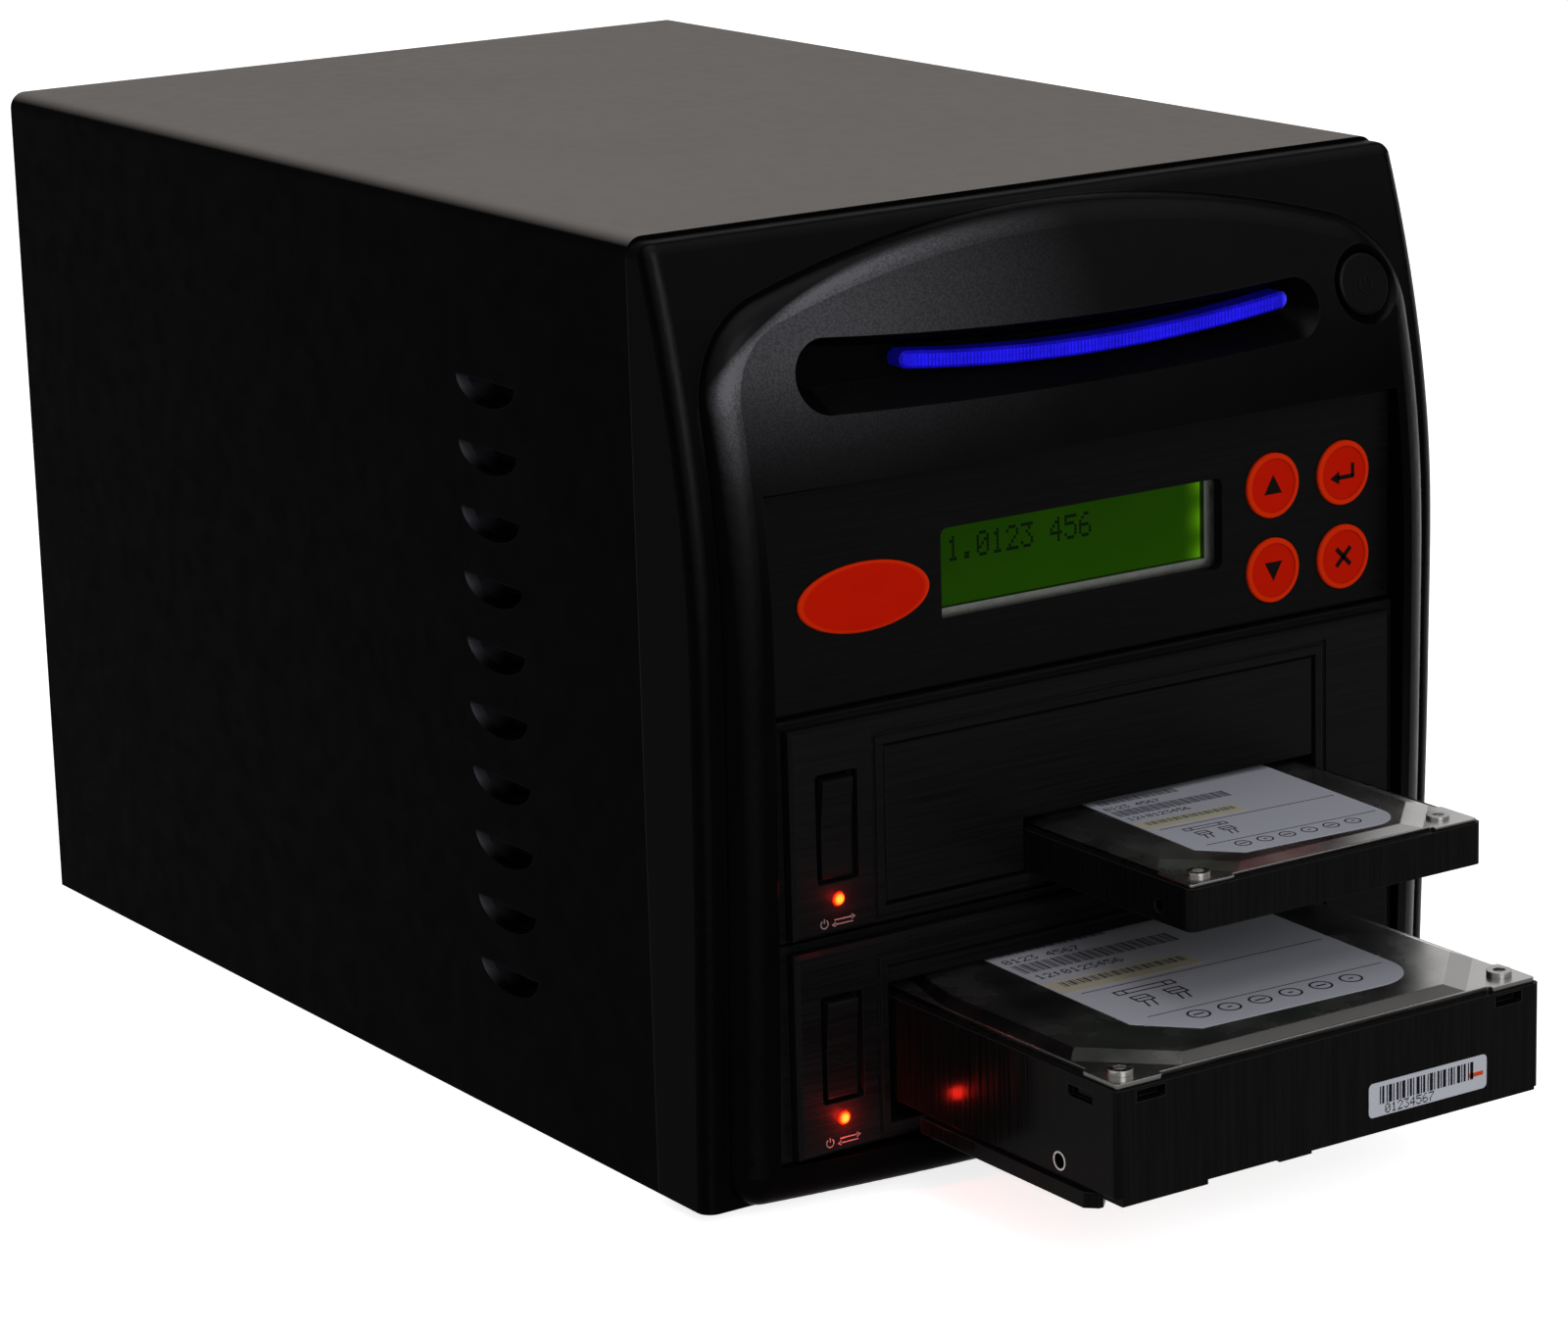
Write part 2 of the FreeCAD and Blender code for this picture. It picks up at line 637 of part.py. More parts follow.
# ---------------------------------------------------------------- control panel
def make_control_panel():
    """Panel moulding of the top bay with the display window and four key holes."""
    low = bay_z(2)
    mid = low + BAY_H / 2
    height = BAY_H - 2 * GAP
    width = BAY_W - 2 * GAP
    back = PANEL_Y + 14
    shell = plate(0, mid, width, height, PANEL_Y, back)
    front = edges_where(shell, lambda b: b.YMax < PANEL_Y + 0.1)
    shell = shell.makeChamfer(0.5, front)
    shell = shell.cut(plate(0, mid, width - 3.6, height - 3.6, PANEL_Y + PANEL_T, back + 1))
    shell = shell.cut(rounded_box(WINDOW_X, WINDOW_Z, WINDOW_W, WINDOW_H, 1.5, PANEL_Y - 1, PANEL_Y + PANEL_T + 1))
    return shell.cut([rod(KEY_R + 0.15, PANEL_Y - 1, PANEL_Y + PANEL_T + 1, x, z) for x, z in key_places()])


def key_places():
    """Centres of the four keys: up, enter, down, escape."""
    return [(KEY_X + sx * KEY_DX / 2, KEY_Z + sz * KEY_DZ / 2) for sz in (1, -1) for sx in (-1, 1)]


def make_key(x, z):
    """Round key cap with a raised rim in front and a retaining flange behind the panel."""
    front = PANEL_Y - KEY_PROUD
    behind = PANEL_Y + PANEL_T + 0.1
    cap = rod(KEY_R, front, behind, x, z)
    rim = edges_where(cap, lambda b: b.YMax < front + 0.1)
    cap = cap.makeChamfer(0.25, rim)
    face = rod(KEY_R - 1.1, front - 1, front + 0.25, x, z)
    return cap.cut(face).fuse(rod(KEY_R + 0.8, behind, behind + 0.8, x, z))


def make_key_board():
    """Board with one low push switch under each key."""
    behind = PANEL_Y + PANEL_T + 0.9 + KEY_TRAVEL + 0.1
    board = plate(KEY_X, KEY_Z, 32, 32.6, behind + 3.4, behind + 3.4 + BOARD_T)
    switches = []
    for x, z in key_places():
        switches.append(plate(x, z, 6, 6, behind + 1, behind + 3.4))
        switches.append(rod(1.7, behind, behind + 1, x, z))
    return board.fuse(switches)


def make_lcd_frame():
    """Pale metal frame of the display, with a lip round the visible area."""
    front = PANEL_Y + PANEL_T
    outer = plate(LCD_X, LCD_Z, LCD_W + 14, LCD_H + 11, front, front + 4)
    pocket = plate(LCD_X, LCD_Z, LCD_W + 5, LCD_H + 5, front + 1.4, front + 5)
    return outer.cut(pocket).cut(plate(LCD_X, LCD_Z, LCD_W, LCD_H, front - 1, front + 2))


def make_lcd_glass():
    """Display glass behind the lip of its frame."""
    front = PANEL_Y + PANEL_T
    return plate(LCD_X, LCD_Z, LCD_W + 4.8, LCD_H + 4.8, front + 1.5, front + 3)


def make_lcd_board():
    """Display board and its driver chips, closing the frame from behind."""
    front = PANEL_Y + PANEL_T + 4
    board = plate(LCD_X, LCD_Z, LCD_W + 14, LCD_H + 17, front, front + BOARD_T)
    backlight = plate(LCD_X, LCD_Z, LCD_W + 4, LCD_H + 4, front - 0.9, front)
    chips = [plate(LCD_X + side * 16, LCD_Z, 12, 12, front + BOARD_T, front + BOARD_T + 1.8) for side in (-1, 1)]
    return board.fuse([backlight] + chips)


def make_badge():
    """Bare oval badge."""
    badge = slab(ellipse(BADGE_X, BADGE_Z, BADGE_W, BADGE_H), PANEL_Y - 0.7, PANEL_Y)
    front = edges_where(badge, lambda b: b.YMax < PANEL_Y - 0.65)
    return badge.makeChamfer(0.3, front)


def make_board_tray():
    """Steel tray of the top bay that carries the controller board."""
    low = bay_z(2) + 0.5
    half = RACK_W / 2
    front = PANEL_Y + 14 + GAP
    floor = box(-half, half, front, 100, low, low + SHEET)
    sides = [box(min(s * half, s * (half - SHEET)), max(s * half, s * (half - SHEET)), front, 100,
                 low + SHEET, low + 30) for s in (-1, 1)]
    posts = [post(2.5, low + SHEET, low + 6, x, y) for x in (-55, 55) for y in (5, 85)]
    return floor.fuse(sides + posts)


def make_controller_board():
    """Controller board with its processor, heat sink, memory and cable headers."""
    low = bay_z(2) + 6.5
    board = box(-62, 62, -2, 92, low, low + BOARD_T)
    top = low + BOARD_T
    parts = [box(-14, 14, 30, 58, top, top + 2.2),
             box(-46, -32, 20, 42, top, top + 1.2),
             box(-46, -32, 50, 72, top, top + 1.2),
             box(26, 52, 70, 84, top, top + 9),
             box(-50, -20, 80, 88, top, top + 8)]
    sink = box(-13, 13, 31, 57, top + 2.2, top + 4)
    fins = [box(x, x + 1.2, 31, 57, top + 4, top + 12) for x in (-13, -8, -3, 2, 7, 11.8)]
    return board.fuse(parts + [sink] + fins)


# ---------------------------------------------------------------- racks
def mouth(index):
    """Lower and upper edge of a rack's mouth."""
    low = bay_z(index) + MOUTH_LIFT
    return low, low + MOUTH_H


def flap_pivot(index):
    """Height of a rack's flap pin."""
    return mouth(index)[1] - FLAP_PIVOT_DROP


def make_rack_face(index):
    """Rack front moulding: flange, raised face, mouth, switch well and lamp hole."""
    base = bay_z(index)
    low, high = mouth(index)
    mid = (low + high) / 2
    flange = plate(0, base + BAY_H / 2, BAY_W - 2 * GAP, BAY_H - 2 * GAP, FLANGE_Y, RACK_BACK_Y)
    raised = plate(0, base + FACE_LIFT + FACE_H / 2, FACE_W, FACE_H, FACE_Y, FLANGE_Y)
    front = edges_where(raised, lambda b: b.YMax < FACE_Y + 0.1)
    raised = raised.makeChamfer(0.8, front)
    face = raised.fuse(flange)
    border = plate(MOUTH_X, mid, MOUTH_W + 5.2, MOUTH_H + 5.2, FACE_Y - 1, FACE_Y + 0.5)
    border = border.cut(plate(MOUTH_X, mid, MOUTH_W + 3.2, MOUTH_H + 3.2, FACE_Y - 2, FACE_Y + 1))
    face = face.cut(border).cut(plate(MOUTH_X, mid, MOUTH_W, MOUTH_H, FACE_Y - 1, RACK_BACK_Y + 1))
    rocker = base + ROCKER_LIFT
    face = face.cut(rounded_box(ROCKER_X, rocker, WELL_W, WELL_H, 0.8, FACE_Y - 1, FACE_Y + WELL_DEPTH))
    face = face.cut(plate(ROCKER_X, rocker, ROCKER_W + 0.6, ROCKER_H + 1.2, FACE_Y - 1, RACK_BACK_Y + 1))
    face = face.cut(rod(LED_R + 0.02, FACE_Y - 1, RACK_BACK_Y + 1, ROCKER_X, base + LED_LIFT))
    pin = bar(FLAP_PIN_R, MOUTH_LEFT - 3, MOUTH_RIGHT + 3, FLAP_PIVOT_Y, flap_pivot(index))
    return face.cut(pin)


def make_flap(index, notched, angle):
    """Inward flap on its top pin; a notched one leaves a way in for a small drive."""
    low, high = mouth(index)
    pivot = flap_pivot(index)
    left = MOUTH_LEFT + FLAP_GAP
    right = MOUTH_RIGHT - FLAP_GAP
    front = FACE_Y + FLAP_GAP
    leaf = box(left, right, front, front + FLAP_T, low + FLAP_GAP, high - FLAP_GAP)
    rim = edges_where(leaf, lambda b: b.YMax < front + 0.1)
    leaf = leaf.makeChamfer(0.4, rim)
    if notched:
        leaf = leaf.cut(box(NOTCH_LEFT, right + 1, front - 1, front + FLAP_T + 1,
                            low, low + DRIVE_LIFT + SMALL_H + 2 * SMALL_GAP))
    knuckle = bar(FLAP_KNUCKLE_R, left, right, FLAP_PIVOT_Y, pivot)
    bore = bar(FLAP_PIN_R + FIT, left - 1, right + 1, FLAP_PIVOT_Y, pivot)
    flap = leaf.fuse(knuckle).cut(bore)
    flap.rotate(V(0, FLAP_PIVOT_Y, pivot), V(1, 0, 0), angle)
    return flap


def make_flap_pin(index):
    """Steel pin held in the rack's face on both sides of the mouth."""
    return bar(FLAP_PIN_R, MOUTH_LEFT - 3, MOUTH_RIGHT + 3, FLAP_PIVOT_Y, flap_pivot(index))


def make_rocker(index):
    """Rocker cap with two gently angled halves, drawn with its lower end pressed."""
    mid = bay_z(index) + ROCKER_LIFT
    half = ROCKER_H / 2
    pivot_y = RACK_BACK_Y
    proud = FACE_Y - 0.2
    hollow = math.tan(math.radians(ROCKER_TILT)) * half
    outline = Part.makePolygon([V(0, proud, mid - half), V(0, proud + hollow, mid), V(0, proud, mid + half),
                                V(0, pivot_y, mid + half), V(0, pivot_y, mid - half), V(0, proud, mid - half)])
    cap = Part.Face(outline).extrude(V(ROCKER_W, 0, 0))
    cap.translate(V(ROCKER_X - ROCKER_W / 2, 0, 0))
    ends = edges_where(cap, lambda b: b.XLength > ROCKER_W - 0.1 and b.YMax < proud + 0.05)
    cap = cap.makeFillet(0.5, ends)
    cap = cap.fuse(bar(ROCKER_PIVOT_R, ROCKER_X - ROCKER_W / 2, ROCKER_X + ROCKER_W / 2, pivot_y, mid))
    cap.rotate(V(0, pivot_y, mid), V(1, 0, 0), ROCKER_TILT)
    return cap


def make_switch_body(index):
    """Switch housing behind the rocker, cradling its round back."""
    mid = bay_z(index) + ROCKER_LIFT
    body = plate(ROCKER_X, mid, ROCKER_W + 2, ROCKER_H + 4, RACK_BACK_Y + 1.4, RACK_BACK_Y + 11)
    ears = [plate(ROCKER_X, mid + s * (ROCKER_H / 2 + 1.4), ROCKER_W + 2, 1.2, RACK_BACK_Y, RACK_BACK_Y + 1.4)
            for s in (-1, 1)]
    cradle = bar(ROCKER_PIVOT_R + GAP, ROCKER_X - 10, ROCKER_X + 10, RACK_BACK_Y, mid)
    pins = [plate(ROCKER_X, mid + s * 6, 4, 0.8, RACK_BACK_Y + 11, RACK_BACK_Y + 17) for s in (-1, 0, 1)]
    return body.fuse(ears).cut(cradle).fuse(pins)


def make_led(index):
    """Round-nosed lamp in the rack's face."""
    z = bay_z(index) + LED_LIFT
    lens = rod(LED_R, FACE_Y - 0.3, RACK_BACK_Y + 1, ROCKER_X, z)
    nose = edges_where(lens, lambda b: b.YMax < FACE_Y - 0.2)
    lens = lens.makeFillet(0.9, nose)
    return lens.fuse(rod(LED_R + 0.5, RACK_BACK_Y, RACK_BACK_Y + 1, ROCKER_X, z))


def make_rack_cage(index):
    """Steel sleeve of the rack, open in front and behind."""
    base = bay_z(index)
    half = RACK_W / 2
    outer = box(-half, half, RACK_BACK_Y, CAGE_D, base + 0.5, base + 41.8)
    inner = box(-half + 0.8, half - 0.8, RACK_BACK_Y - 1, CAGE_D + 1, base + 1.3, base + 41.0)
    return outer.cut(inner)


def make_rack_guide(index, small_rib):
    """Plastic channel that leads the drive from the mouth to the connector."""
    low = mouth(index)[0]
    floor_low = bay_z(index) + 1.3
    left = MOUTH_LEFT - 2
    right = MOUTH_RIGHT + 2
    end = SEAT_Y + 6
    floor = box(left, right, RACK_BACK_Y, end, low - 1.6, low)
    ribs = [box(x - 1, x + 1, RACK_BACK_Y, end, floor_low, low - 1.6) for x in (left + 1, MOUTH_X, right - 1)]
    walls = [box(left, MOUTH_LEFT, RACK_BACK_Y, end, low, low + 24),
             box(MOUTH_RIGHT, right, RACK_BACK_Y, end, low, low + 24)]
    guide = floor.fuse(ribs + walls)
    if small_rib:
        guide = guide.fuse(box(NOTCH_LEFT - 1, NOTCH_LEFT, 3, end, low, low + 3))
    return guide


def make_backplane(index):
    """Upright board at the back of the rack with the plug for the drive."""
    low = mouth(index)[0]
    front = SEAT_Y + 6
    board = box(MOUTH_LEFT - 2, MOUTH_RIGHT + 2, front, front + BOARD_T, low - 1.6, low + 30)
    plug_z = low + DRIVE_LIFT + PLUG_LIFT
    body = plate(PLUG_X, plug_z, PLUG_W + 4, 6.4, SEAT_Y + GAP, front)
    tongues = [plate(PLUG_X - 14.5, plug_z, 9, 1.2, SEAT_Y - TONGUE, SEAT_Y + GAP),
               plate(PLUG_X + 6.5, plug_z, 22, 1.2, SEAT_Y - TONGUE, SEAT_Y + GAP)]
    back = front + BOARD_T
    sockets = [plate(-20, low + 12, 16, 6, back, back + 7), plate(20, low + 12, 22, 10, back, back + 9)]
    return board.fuse([body] + tongues + sockets)


# ---------------------------------------------------------------- drives
def plug_slots(rear, base):
    """Clearance for the rack's plug in the back of a drive."""
    z = base + PLUG_LIFT
    return [plate(PLUG_X - 14.5, z, 10.4, 2.6, rear - TONGUE - 1, rear + 1),
            plate(PLUG_X + 6.5, z, 23.4, 2.6, rear - TONGUE - 1, rear + 1)]


def lid_outline(cx, front, width, depth, cut, waist, z):
    """Plan outline of a lid's raised area: cut front corners, waisted behind the platters."""
    half = width / 2
    back = front + depth
    right = [V(half - cut, front, z), V(half, front + cut, z)]
    if waist:
        right += [V(half, front + LID_WAIST_Y, z), V(half - 0.3 * waist, front + LID_WAIST_Y + 6, z)]
    right += [V(half - waist, front + LID_WAIST_Y + 4 * waist, z), V(half - waist, back - cut, z),
              V(half - waist - cut, back, z)]
    left = [V(-point.x, point.y, z) for point in reversed(right)]
    return Part.makePolygon([V(cx + point.x, point.y, z) for point in right + left + right[:1]])


def make_big_casting():
    """Die-cast 3.5 inch drive body: rails, threaded holes, pockets, a stepped foot and a chamber."""
    base = mouth(0)[0] + DRIVE_LIFT
    rear = BIG_FRONT + BIG_D
    half = BIG_W / 2
    left = MOUTH_X - half + 1
    right = MOUTH_X + half - 1
    body = box(left, right, BIG_FRONT, rear, base + 3.6, base + BIG_H - 2.2)
    upright = edges_where(body, lambda b: b.ZLength > 10)
    body = body.makeFillet(1.2, upright)
    foot = [box(left + 1.2, right - 1.2, BIG_FRONT, BIG_FRONT + 40, base + 3.0, base + 3.6),
            box(left + 1.2, left + 20.5, BIG_FRONT, BIG_FRONT + 16, base + 2.1, base + 3.6),
            box(left + 37, left + 44.5, BIG_FRONT, BIG_FRONT + 16, base + 2.5, base + 3.6)]
    body = body.fuse(foot + big_rails(base, rear))
    chamber = Part.makeCylinder(46, 14, V(MOUTH_X, BIG_FRONT + 50, base + 7))
    arm_room = box(MOUTH_X - 40, MOUTH_X + 40, BIG_FRONT + 88, rear - 16, base + 7, base + 21)
    body = body.cut(chamber).cut(arm_room)
    cuts = [plate(MOUTH_X + side * 42, base + BIG_H - 3.9, 6.5, 2.2, BIG_FRONT - 1, BIG_FRONT + 2.5)
            for side in (-1, 1)]
    for side in (-1, 1):
        x_out = MOUTH_X + side * (half + 1)
        x_in = MOUTH_X + side * (half - 4)
        for step in (16.9, 76.6, 118.5):
            cuts.append(bar(1.45, min(x_out, x_in), max(x_out, x_in), BIG_FRONT + step, base + 6.35))
        x_in = MOUTH_X + side * (half - 2.2)
        cuts.append(box(min(x_out, x_in), max(x_out, x_in), BIG_FRONT + 7, BIG_FRONT + 14.2, base + 19.6, base + 21.8))
    return body.cut(cuts + plug_slots(rear, base))


def big_rails(base, rear):
    """Two ledges low on each side of the 3.5 inch drive, bevelled in front and joined to its body."""
    rails = []
    for side in (-1, 1):
        x_out = MOUTH_X + side * BIG_W / 2
        x_in = x_out - side * 5
        x_join = x_out - side * 1.6
        for y0, y1 in ((BIG_FRONT + 6.7, BIG_FRONT + 58.7), (BIG_FRONT + 76, rear - 4)):
            rail = box(min(x_out, x_in), max(x_out, x_in), y0, y1, base, base + 3.0)
            nose = edges_where(rail, lambda b: b.ZLength > 2.9 and b.YMax < y0 + 1)
            rail = rail.makeChamfer(2.0, nose)
            rails.append(rail.fuse(box(min(x_join, x_in), max(x_join, x_in), y0 + 2, y1, base + 3.0, base + 4.0)))
    return rails


def make_big_board():
    """Circuit board and connector under the 3.5 inch drive."""
    base = mouth(0)[0] + DRIVE_LIFT
    rear = BIG_FRONT + BIG_D
    board = box(MOUTH_X - 44, MOUTH_X + 44, BIG_FRONT + 48, rear - 7, base + 1.9, base + 3.6)
    chips = [box(MOUTH_X - 30, MOUTH_X - 16, BIG_FRONT + 70, BIG_FRONT + 84, base + 0.7, base + 1.9),
             box(MOUTH_X + 5, MOUTH_X + 17, BIG_FRONT + 95, BIG_FRONT + 107, base + 0.7, base + 1.9)]
    return board.fuse(chips)


def make_lid(cx, front, width, depth, base, flange, rise, cut, waist):
    """Pressed steel lid: a flat flange with corner tabs and a raised area with a wide soft bevel."""
    length = depth - LID_SHORT
    half = width / 2
    low = box(cx - half + LID_INSET, cx + half - LID_INSET, front + LID_INSET, front + length - LID_INSET,
              base, base + flange)
    tab = LID_TAB - LID_TAB_INSET
    for x in (cx - half + LID_TAB_INSET, cx + half - LID_TAB):
        for y in (front + LID_TAB_INSET, front + length - LID_TAB):
            low = low.fuse(box(x, x + tab, y, y + tab, base, base + flange))
    low = low.removeSplitter()
    corners = edges_where(low, lambda b: b.ZLength > flange - 0.1 and b.XLength < 0.1 and b.YLength < 0.1)
    low = low.makeFillet(0.6, corners)
    foot = LID_INSET + 0.3
    crest = foot + LID_BEVEL
    wide = lid_outline(cx, front + foot, width - 2 * foot, length - 2 * foot, cut, waist, base + flange)
    top = lid_outline(cx, front + crest, width - 2 * crest, length - 2 * crest, cut, waist, base + flange + rise)
    return low.fuse(Part.makeLoft([wide, top], True, True))


def make_big_lid():
    """Lid of the 3.5 inch drive."""
    base = mouth(0)[0] + DRIVE_LIFT + BIG_H - 2.2
    lid = make_lid(MOUTH_X, BIG_FRONT, BIG_W - 2, BIG_D, base, 1.0, 1.2, 14, LID_WAIST)
    return lid.cut([post(SCREW_R + 0.1, base - 1, base + 5, x, y)
                    for x, y in lid_screw_places(MOUTH_X, BIG_FRONT, BIG_W, BIG_D)])


def lid_screw_places(cx, front, width, depth):
    """Screws at the four corners of a lid."""
    return [(cx + side * (width / 2 - SCREW_INSET_X), y) for side in (-1, 1)
            for y in (front + SCREW_INSET_Y, front + depth - LID_SHORT - SCREW_INSET_Y + 1)]


def make_lid_screws(cx, front, width, depth, base, head_r, head_t):
    """Round screws of a lid, each with a hexagonal socket."""
    hexagon = [V(head_r * 0.55 * math.cos(math.radians(60 * step)),
                 head_r * 0.55 * math.sin(math.radians(60 * step)), 0) for step in range(7)]
    socket = Part.Face(Part.makePolygon(hexagon)).extrude(V(0, 0, head_t))
    screws = []
    for x, y in lid_screw_places(cx, front, width, depth):
        hole = socket.copy()
        hole.translate(V(x, y, base + head_t * 0.4))
        screws.append(post(head_r, base, base + head_t, x, y).cut(hole))
    return screws


def make_small_casting():
    """Die-cast 2.5 inch drive body."""
    base = mouth(1)[0] + DRIVE_LIFT
    rear = SMALL_FRONT + SMALL_D
    half = SMALL_W / 2
    body = box(SMALL_X - half, SMALL_X + half, SMALL_FRONT, rear, base, base + SMALL_H - 1.3)
    upright = edges_where(body, lambda b: b.ZLength > 5)
    body = body.makeFillet(1.5, upright)
    body = body.cut(box(SMALL_X - half + 4, SMALL_X + half - 4, SMALL_FRONT + 30, rear - 6, base - 1, base + 2.4))
    chamber = Part.makeCylinder(32, 4.2, V(SMALL_X, SMALL_FRONT + 36, base + 3.2))
    holes = []
    for step in (9.4, 86.0):
        for side in (-1, 1):
            x_out = SMALL_X + side * (half + 1)
            x_in = SMALL_X + side * (half - 3)
            holes.append(bar(1.25, min(x_out, x_in), max(x_out, x_in), SMALL_FRONT + step, base + 3.0))
    return body.cut(chamber).cut(holes + plug_slots(rear, base))


def make_small_board():
    """Circuit board under the 2.5 inch drive."""
    base = mouth(1)[0] + DRIVE_LIFT
    half = SMALL_W / 2
    rear = SMALL_FRONT + SMALL_D
    board = box(SMALL_X - half + 4.5, SMALL_X + half - 4.5, SMALL_FRONT + 30.5, rear - 6.5, base + 1.2, base + 2.4)
    return board.fuse(box(SMALL_X - 6, SMALL_X + 6, SMALL_FRONT + 50, SMALL_FRONT + 62, base + 0.3, base + 1.2))


def make_small_lid():
    """Lid of the 2.5 inch drive."""
    base = mouth(1)[0] + DRIVE_LIFT + SMALL_H - 1.3
    lid = make_lid(SMALL_X, SMALL_FRONT, SMALL_W, SMALL_D, base, 0.6, 0.7, 10.5, 0)
    return lid.cut([post(SCREW_R, base - 1, base + 5, x, y)
                    for x, y in lid_screw_places(SMALL_X, SMALL_FRONT, SMALL_W, SMALL_D)])


# ---------------------------------------------------------------- fans and power supply
def make_fan_frame(size, depth, x, z, back, screw):
    """Square fan housing with a round duct, a motor seat and four struts."""
    duct = size / 2 - 2
    hub = size * HUB_SHARE / 2
    front = back - depth
    frame = rounded_box(x, z, size, size, size * 0.06, front, back)
    frame = frame.cut(rod(duct, front - 1, back + 1, x, z))
    frame = frame.cut(ring_of(rod(screw / 16.6, front - 1, back + 1, x + screw, z + screw), 4, x, z))
    seat = rod(hub, back - depth * 0.14, back, x, z)
    strut = plate(x + (duct + hub) / 2 - 0.5, z, duct - hub + 2, size * 0.05, back - depth * 0.12, back)
    return frame.fuse([seat] + ring_of(strut, 4, x, z))


def make_fan_rotor(size, depth, x, z, back):
    """Hub and twisted blades."""
    hub = size * HUB_SHARE / 2 - 0.4
    tip = size / 2 - 2
    front = back - depth + 1
    rear = back - depth * 0.14 - GAP
    middle = (front + rear) / 2
    sections = []
    for radius, chord, pitch in ((hub - 1, depth * 0.78, 46.0), (tip, depth * 0.98, 30.0)):
        wire = Part.makePolygon([V(radius, -chord / 2, -0.6), V(radius, chord / 2, -0.6),
                                 V(radius, chord / 2, 0.6), V(radius, -chord / 2, 0.6), V(radius, -chord / 2, -0.6)])
        wire.rotate(V(0, 0, 0), V(1, 0, 0), 90 - pitch)
        sections.append(wire)
    blade = Part.makeLoft(sections, True, True)
    blade.translate(V(x, middle, z))
    body = rod(hub, front, rear, x, z)
    rim = edges_where(body, lambda b: b.YMax < front + 0.1)
    body = body.makeFillet(hub * 0.15, rim)
    sweep = rod(tip - BLADE_GAP, front, rear, x, z)
    return body.fuse([copy.common(sweep) for copy in ring_of(blade, BLADES, x, z)])


def make_fan_grille():
    """Wire finger guard on the rear panel: flat rings on a cross of spokes."""
    y0 = REAR_Y
    y1 = CASE_D + REAR_PROUD
    mid = (y0 + y1) / 2
    outer = FAN / 2 - 3
    rings = []
    for share in (0.3, 0.53, 0.76, 1.0):
        radius = outer * share
        rings.append(rod(radius + 0.8, mid, y1, 0, FAN_Z).cut(rod(radius - 0.8, mid - 1, y1 + 1, 0, FAN_Z)))
    spoke = plate(outer * 0.66, FAN_Z, outer * 0.72, 1.6, mid - 0.6, mid + 0.6)
    spoke.rotate(V(0, 0, FAN_Z), V(0, 1, 0), 45)
    ear = rod(HEAD_R + 0.6, y0, mid, FAN_SCREW, FAN_Z + FAN_SCREW)
    reach = FAN_SCREW * math.sqrt(2)
    inner_end = reach - HEAD_R - GAP
    link = plate((inner_end + outer) / 2, FAN_Z, inner_end - outer, 3, mid - 1.2, mid + 0.6)
    link = link.fuse(plate(inner_end, FAN_Z, 2, 3, mid - 1.2, mid))
    link.rotate(V(0, 0, FAN_Z), V(0, 1, 0), -45)
    ears = ring_of(ear.fuse(link).cut(rod(FAN_SCREW_R, y0 - 1, y1, FAN_SCREW, FAN_Z + FAN_SCREW)), 4, 0, FAN_Z)
    return rings[0].fuse(rings[1:] + ring_of(spoke, 4, 0, FAN_Z) + ears)


def psu_mid_z():
    """Middle height of the power supply."""
    return PSU_Z + PSU_H / 2


def make_psu_case():
    """Closed steel box of the power supply, with its rear openings."""
    outer = box(-PSU_W / 2, PSU_W / 2, PSU_FRONT, PSU_BACK, PSU_Z, PSU_Z + PSU_H)
    inner = box(-PSU_W / 2 + PSU_WALL, PSU_W / 2 - PSU_WALL, PSU_FRONT + PSU_WALL, PSU_BACK - PSU_WALL,
                PSU_Z + PSU_WALL, PSU_Z + PSU_H - PSU_WALL)
    z = psu_mid_z()
    inlet = plate(INLET_X, z, INLET_W - 3 + 0.2, INLET_H - 1, PSU_BACK - 5, PSU_BACK + 1)
    toggle = plate(TOGGLE_X, z, TOGGLE_W + 1.4, TOGGLE_H + 1.4, PSU_BACK - 5, PSU_BACK + 1)
    duct = rod(PSU_FAN / 2 - 1, PSU_BACK - 5, PSU_BACK + 1, PSU_FAN_X, z)
    return outer.cut(inner).cut([inlet, toggle, duct])


def make_power_inlet():
    """Three-pin appliance inlet with a keyed mouth."""
    z = psu_mid_z()
    front = PSU_BACK - INLET_DEEP
    flange = plate(INLET_X, z, INLET_W + 3, INLET_H + 2, PSU_BACK, PSU_BACK + 2)
    body = plate(INLET_X, z, INLET_W - 3, INLET_H - 1.2, front, PSU_BACK)
    shell = body.fuse(flange)
    mouth_w = INLET_W - 6
    mouth_h = INLET_H - 5
    key = 4.0
    x0 = INLET_X - mouth_w / 2
    x1 = INLET_X + mouth_w / 2
    z0 = z - mouth_h / 2
    z1 = z + mouth_h / 2
    outline = Part.makePolygon([V(x0, 0, z0), V(x1, 0, z0), V(x1, 0, z1 - key), V(x1 - key, 0, z1),
                                V(x0 + key, 0, z1), V(x0, 0, z1 - key), V(x0, 0, z0)])
    shell = shell.cut(slab(Part.Wire(outline.Edges), front + 2, PSU_BACK + 3))
    pins = [plate(INLET_X + step * 7, z + lift, 2, 4, front + 1, PSU_BACK - 5)
            for step, lift in ((-1, -2), (0, 2), (1, -2))]
    return shell.fuse(pins)


